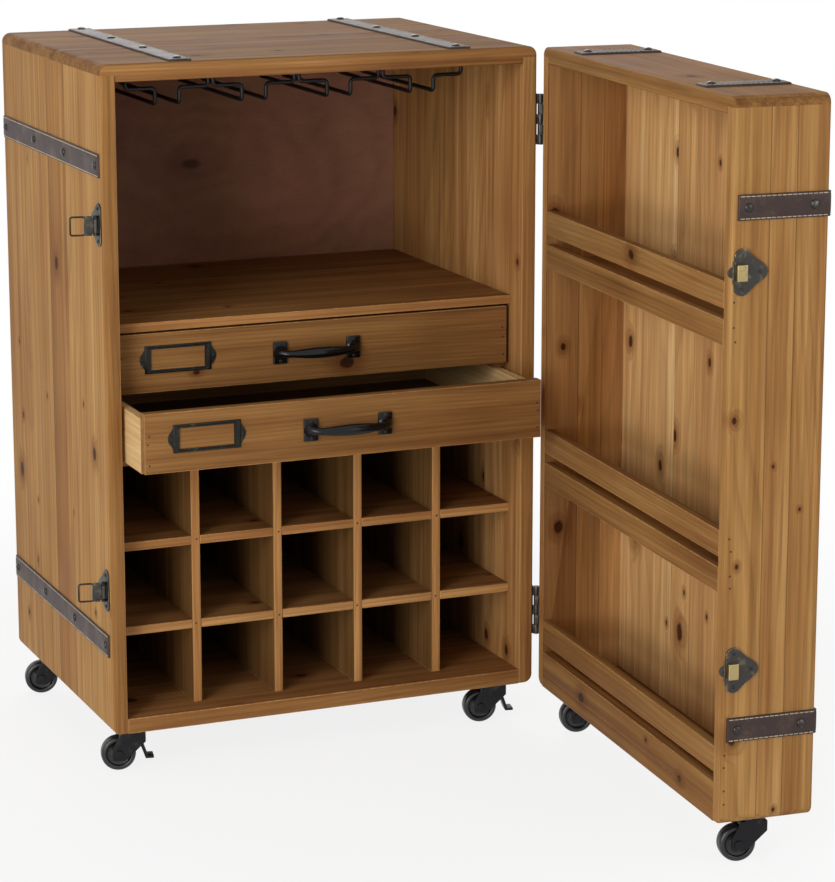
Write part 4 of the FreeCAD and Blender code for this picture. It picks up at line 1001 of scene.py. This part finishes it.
def rounded_loop(near, far, half, bend):
    """A rectangle's outline with round corners, in millimetres along and across."""
    corners = (((far - bend, half - bend), 0), ((near + bend, half - bend), 90),
               ((near + bend, bend - half), 180), ((far - bend, bend - half), 270))
    return [point for centre, turn in corners for point in arc(centre, bend, turn, turn + 90, BEND_STEPS)]


def swinging_hasp(node):
    """A pressed arm with raised cheeks on its knuckle, and a wire loop beyond it, drawn shut."""
    low, high = islands(node)[0]
    reach, half = -low.y / MM, high.z / MM
    made = bmesh.new()
    lug = LUG_RADIUS / MM
    knuckle = [
        (BORE_RADIUS, KNUCKLE_HALF), (lug - KNUCKLE_EASE, KNUCKLE_HALF), (lug, KNUCKLE_HALF - KNUCKLE_EASE)]
    lathe(made, in_metres(mirrored(knuckle)), Vector(), Z_AXIS, TURNED_SIDES, 0, True)
    arm_end = reach - HASP_LOOP
    upper = [
        (BORE_RADIUS + ARM_SINK, KNUCKLE_HALF), (CHEEK_START - ARM_FLARE, KNUCKLE_HALF),
        (CHEEK_START, ARM_HALF), (arm_end, ARM_HALF)]
    inner = X_AXIS * (-ARM_HALF_THICKNESS * MM)
    plate(made, mirrored(upper), inner, -Y_AXIS, Z_AXIS, X_AXIS, 2 * ARM_HALF_THICKNESS * MM)
    for side in (-1, 1):
        cheek = [(CHEEK_START, 0.0), (CHEEK_END, 0.0), (CHEEK_END, CHEEK_WIDTH), (CHEEK_START, CHEEK_WIDTH)]
        root = X_AXIS * (CHEEK_SEAT * MM) + Z_AXIS * (side * ARM_HALF * MM)
        plate(made, cheek, root, -Y_AXIS, Z_AXIS * -side, X_AXIS, CHEEK_RISE * MM, CHEEK_RUB)
    outline = rounded_loop(arm_end - WIRE_RADIUS, reach - WIRE_RADIUS, half - WIRE_RADIUS, WIRE_BEND)
    loop = [Z_AXIS * (z * MM) - Y_AXIS * (y * MM) for y, z in outline]
    tube(made, loop, [WIRE_RADIUS * MM] * len(loop), X_AXIS, 1.0, WIRE_SIDES, 2, True)
    # The arm's rims take the paler iron: wear and a painted highlight.
    piece(node + "_pressed", made, node, [IRON, IRON_WEAR_AND_HIGHLIGHT, BRONZE], "iron", (node,))


carcass_latches()
door_catches()
for node in ("upper_hasp", "lower_hasp"):
    swinging_hasp(node)


# Other metal fittings, from the solids with rubbed edges

def fitting(node, main=STEEL, edge=STEEL, slot="caster_steel", width=0.5 * MM, **bevel):
    made = from_cad(node)
    soften(made, width, **bevel)
    piece(node + "_metal", made, body_of_node[node], [main, edge], slot, (node,))


LEAF_RUB, LEAF_SCREW_SEAT, LEAF_SCREW_RADIUS = 0.3 * MM, 1.4 * MM, 2.4 * MM
LEAF_SCREW_INSET, LEAF_SCREW_PITCH = 8.5 * MM, 22 * MM


def hinge_with_screws(node, side):
    """A hinge's leaves, with screws in the middle of the leaf on the given side of the barrel."""
    made = from_cad(node)
    soften(made, LEAF_RUB)
    for low, high in islands(node):
        y = high.y - LEAF_SCREW_INSET if side > 0 else low.y + LEAF_SCREW_INSET
        for z in (-LEAF_SCREW_PITCH, 0.0, LEAF_SCREW_PITCH):
            spot = Vector((low.x + LEAF_SCREW_SEAT, y, (low.z + high.z) / 2 + z))
            screw(made, spot, X_AXIS, LEAF_SCREW_RADIUS, 1)
    piece(node + "_metal", made, body_of_node[node], [IRON, IRON_WEAR_AND_HIGHLIGHT], "iron", (node,))


hinge_with_screws("hinge_leaves", 1)
hinge_with_screws("door_hinge_leaves", -1)
fitting("hinge_pins", IRON, IRON_WEAR_AND_HIGHLIGHT, "iron", 0.3 * MM)
fitting("latch_hooks", BRASS, BRASS, "brass", 0.9 * MM, segments=3)
fitting("stemware_rack", WIRE, WIRE, "black_wire", 0.3 * MM, over=60.0)
fitting("caster_plates")
fitting("door_caster_plates")


# Casters: a round-shouldered tyre on a dished hub

WHEEL_SIDES = 56
# Radius and half width, from the hub's middle out to the tread
HALF_WHEEL = (
    (0.2, 9.0), (5.0, 9.0), (6.4, 8.5), (7.0, 7.4), (7.4, 6.3), (9.0, 5.8), (12.8, 5.5), (14.2, 6.0),
    (14.9, 7.6), (15.6, 8.6), (17.0, 9.0), (18.8, 8.8), (20.3, 7.9), (21.1, 6.2), (21.4, 4.2), (21.5, 2.0),
    (21.5, 0.9), (21.1, 0.5))


def wheel(caster):
    roll = joints[caster + "_roll"]
    made = bmesh.new()
    profile = in_metres(mirrored(HALF_WHEEL))
    lathe(made, profile, Vector(roll["pos_m"]), Vector(roll["axis"]), WHEEL_SIDES)
    name = caster + "_wheel"
    piece(name + "_tyre", made, name, [RUBBER], "rubber", (name,))


for caster in ("front_left", "front_right", "rear_left", "rear_right", "door_free", "door_hinge"):
    fitting(caster + "_fork", width=0.6 * MM)
    wheel(caster)
for caster in ("front_left", "front_right"):
    fitting(caster + "_brake")


# Floor, light and camera

FLOOR_SIZE = 60.0
NEAR_FLOOR, FAR_FLOOR = 0.5, 1.6
FLOOR_GLOW = 0.84
FLOOR_COLOUR = (0.90, 0.90, 0.89)
FLOOR_CELLS = 8
WHITE = (1.0, 1.0, 1.0)
WORLD_LEVEL = 0.34


def stage_floor():
    """A pale floor that takes the shadow near the piece and is seen as white further off."""
    made = bmesh.new()
    bmesh.ops.create_grid(made, x_segments=FLOOR_CELLS, y_segments=FLOOR_CELLS, size=FLOOR_SIZE)
    mesh = bpy.data.meshes.new("floor")
    made.to_mesh(mesh)
    made.free()
    tree = new_material("pale_floor")
    here = tree.here()
    away = tree.math("SQRT", tree.total((here[0], here[0]), (here[1], here[1])))
    far = tree.span(away, NEAR_FLOOR, FAR_FLOOR, FLOOR_GLOW, 1.0, True)
    tree.finish(Base_Color=FLOOR_COLOUR, Roughness=0.8, Specular_IOR_Level=0.1)
    glow = tree.add("Emission", {0: WHITE, 1: 1.0}).outputs[0]
    shown = tree.times(tree.seen(), far)
    both = tree.add("MixShader", {0: shown, 1: tree.surface.outputs[0], 2: glow})
    tree.links.new(both.outputs[0], tree.nodes["Material Output"].inputs[0])
    mesh.materials.append(tree.owner)
    floor = bpy.data.objects.new("floor", mesh)
    bpy.context.scene.collection.objects.link(floor)


def lamp(name, place, aim, size, power, colour):
    data = bpy.data.lights.new(name, "AREA")
    data.shape = "DISK"
    data.size = size
    data.energy = power
    data.color = colour
    made = bpy.data.objects.new(name, data)
    made.location = place
    made.rotation_euler = (Vector(aim) - Vector(place)).to_track_quat("-Z", "Y").to_euler()
    bpy.context.scene.collection.objects.link(made)


def stage_world():
    """Even light from all round, which is seen as white."""
    world = bpy.data.worlds.new("studio")
    bpy.context.scene.world = world
    tree = Tree(world, "Background")
    tree.finish(Color=WHITE, Strength=tree.span(tree.seen(), 0.0, 1.0, WORLD_LEVEL, 1.0))


WARM = (1.0, 0.98, 0.95)
# Each lamp's place, aim, size in metres, power in watts and colour
LAMPS = {
    "key": ((-3.4, -2.5, 1.9), (0.0, -0.2, 0.45), 2.2, 64.0, WARM),
    "low": ((-2.6, -2.9, 0.16), (0.1, -0.2, 0.45), 1.4, 56.0, WARM),
    "fill": ((2.2, -3.4, 1.6), (0.1, -0.3, 0.45), 2.2, 22.0, WHITE),
    "back": ((0.6, 2.6, 2.6), (0.0, 0.0, 0.5), 2.4, 36.0, WHITE),
}

stage_floor()
stage_world()
for name, values in LAMPS.items():
    lamp(name, *values)

LENS, SENSOR, SHIFT_UP = 126.156, 36.0, -0.05
CAMERA_PLACE = (-1.3353, -3.6474, 1.2537)
YAW, PITCH = math.radians(22.9518), math.radians(12.2198)

camera_data = bpy.data.cameras.new("camera")
camera_data.sensor_width = SENSOR
camera_data.lens = LENS
camera_data.shift_y = SHIFT_UP
camera_data.dof.use_dof = False
camera = bpy.data.objects.new("camera", camera_data)
camera.location = CAMERA_PLACE
camera.rotation_euler = (math.pi / 2 - PITCH, 0.0, -YAW)
bpy.context.scene.collection.objects.link(camera)
bpy.context.scene.camera = camera
bpy.context.scene.view_settings.view_transform = "Standard"
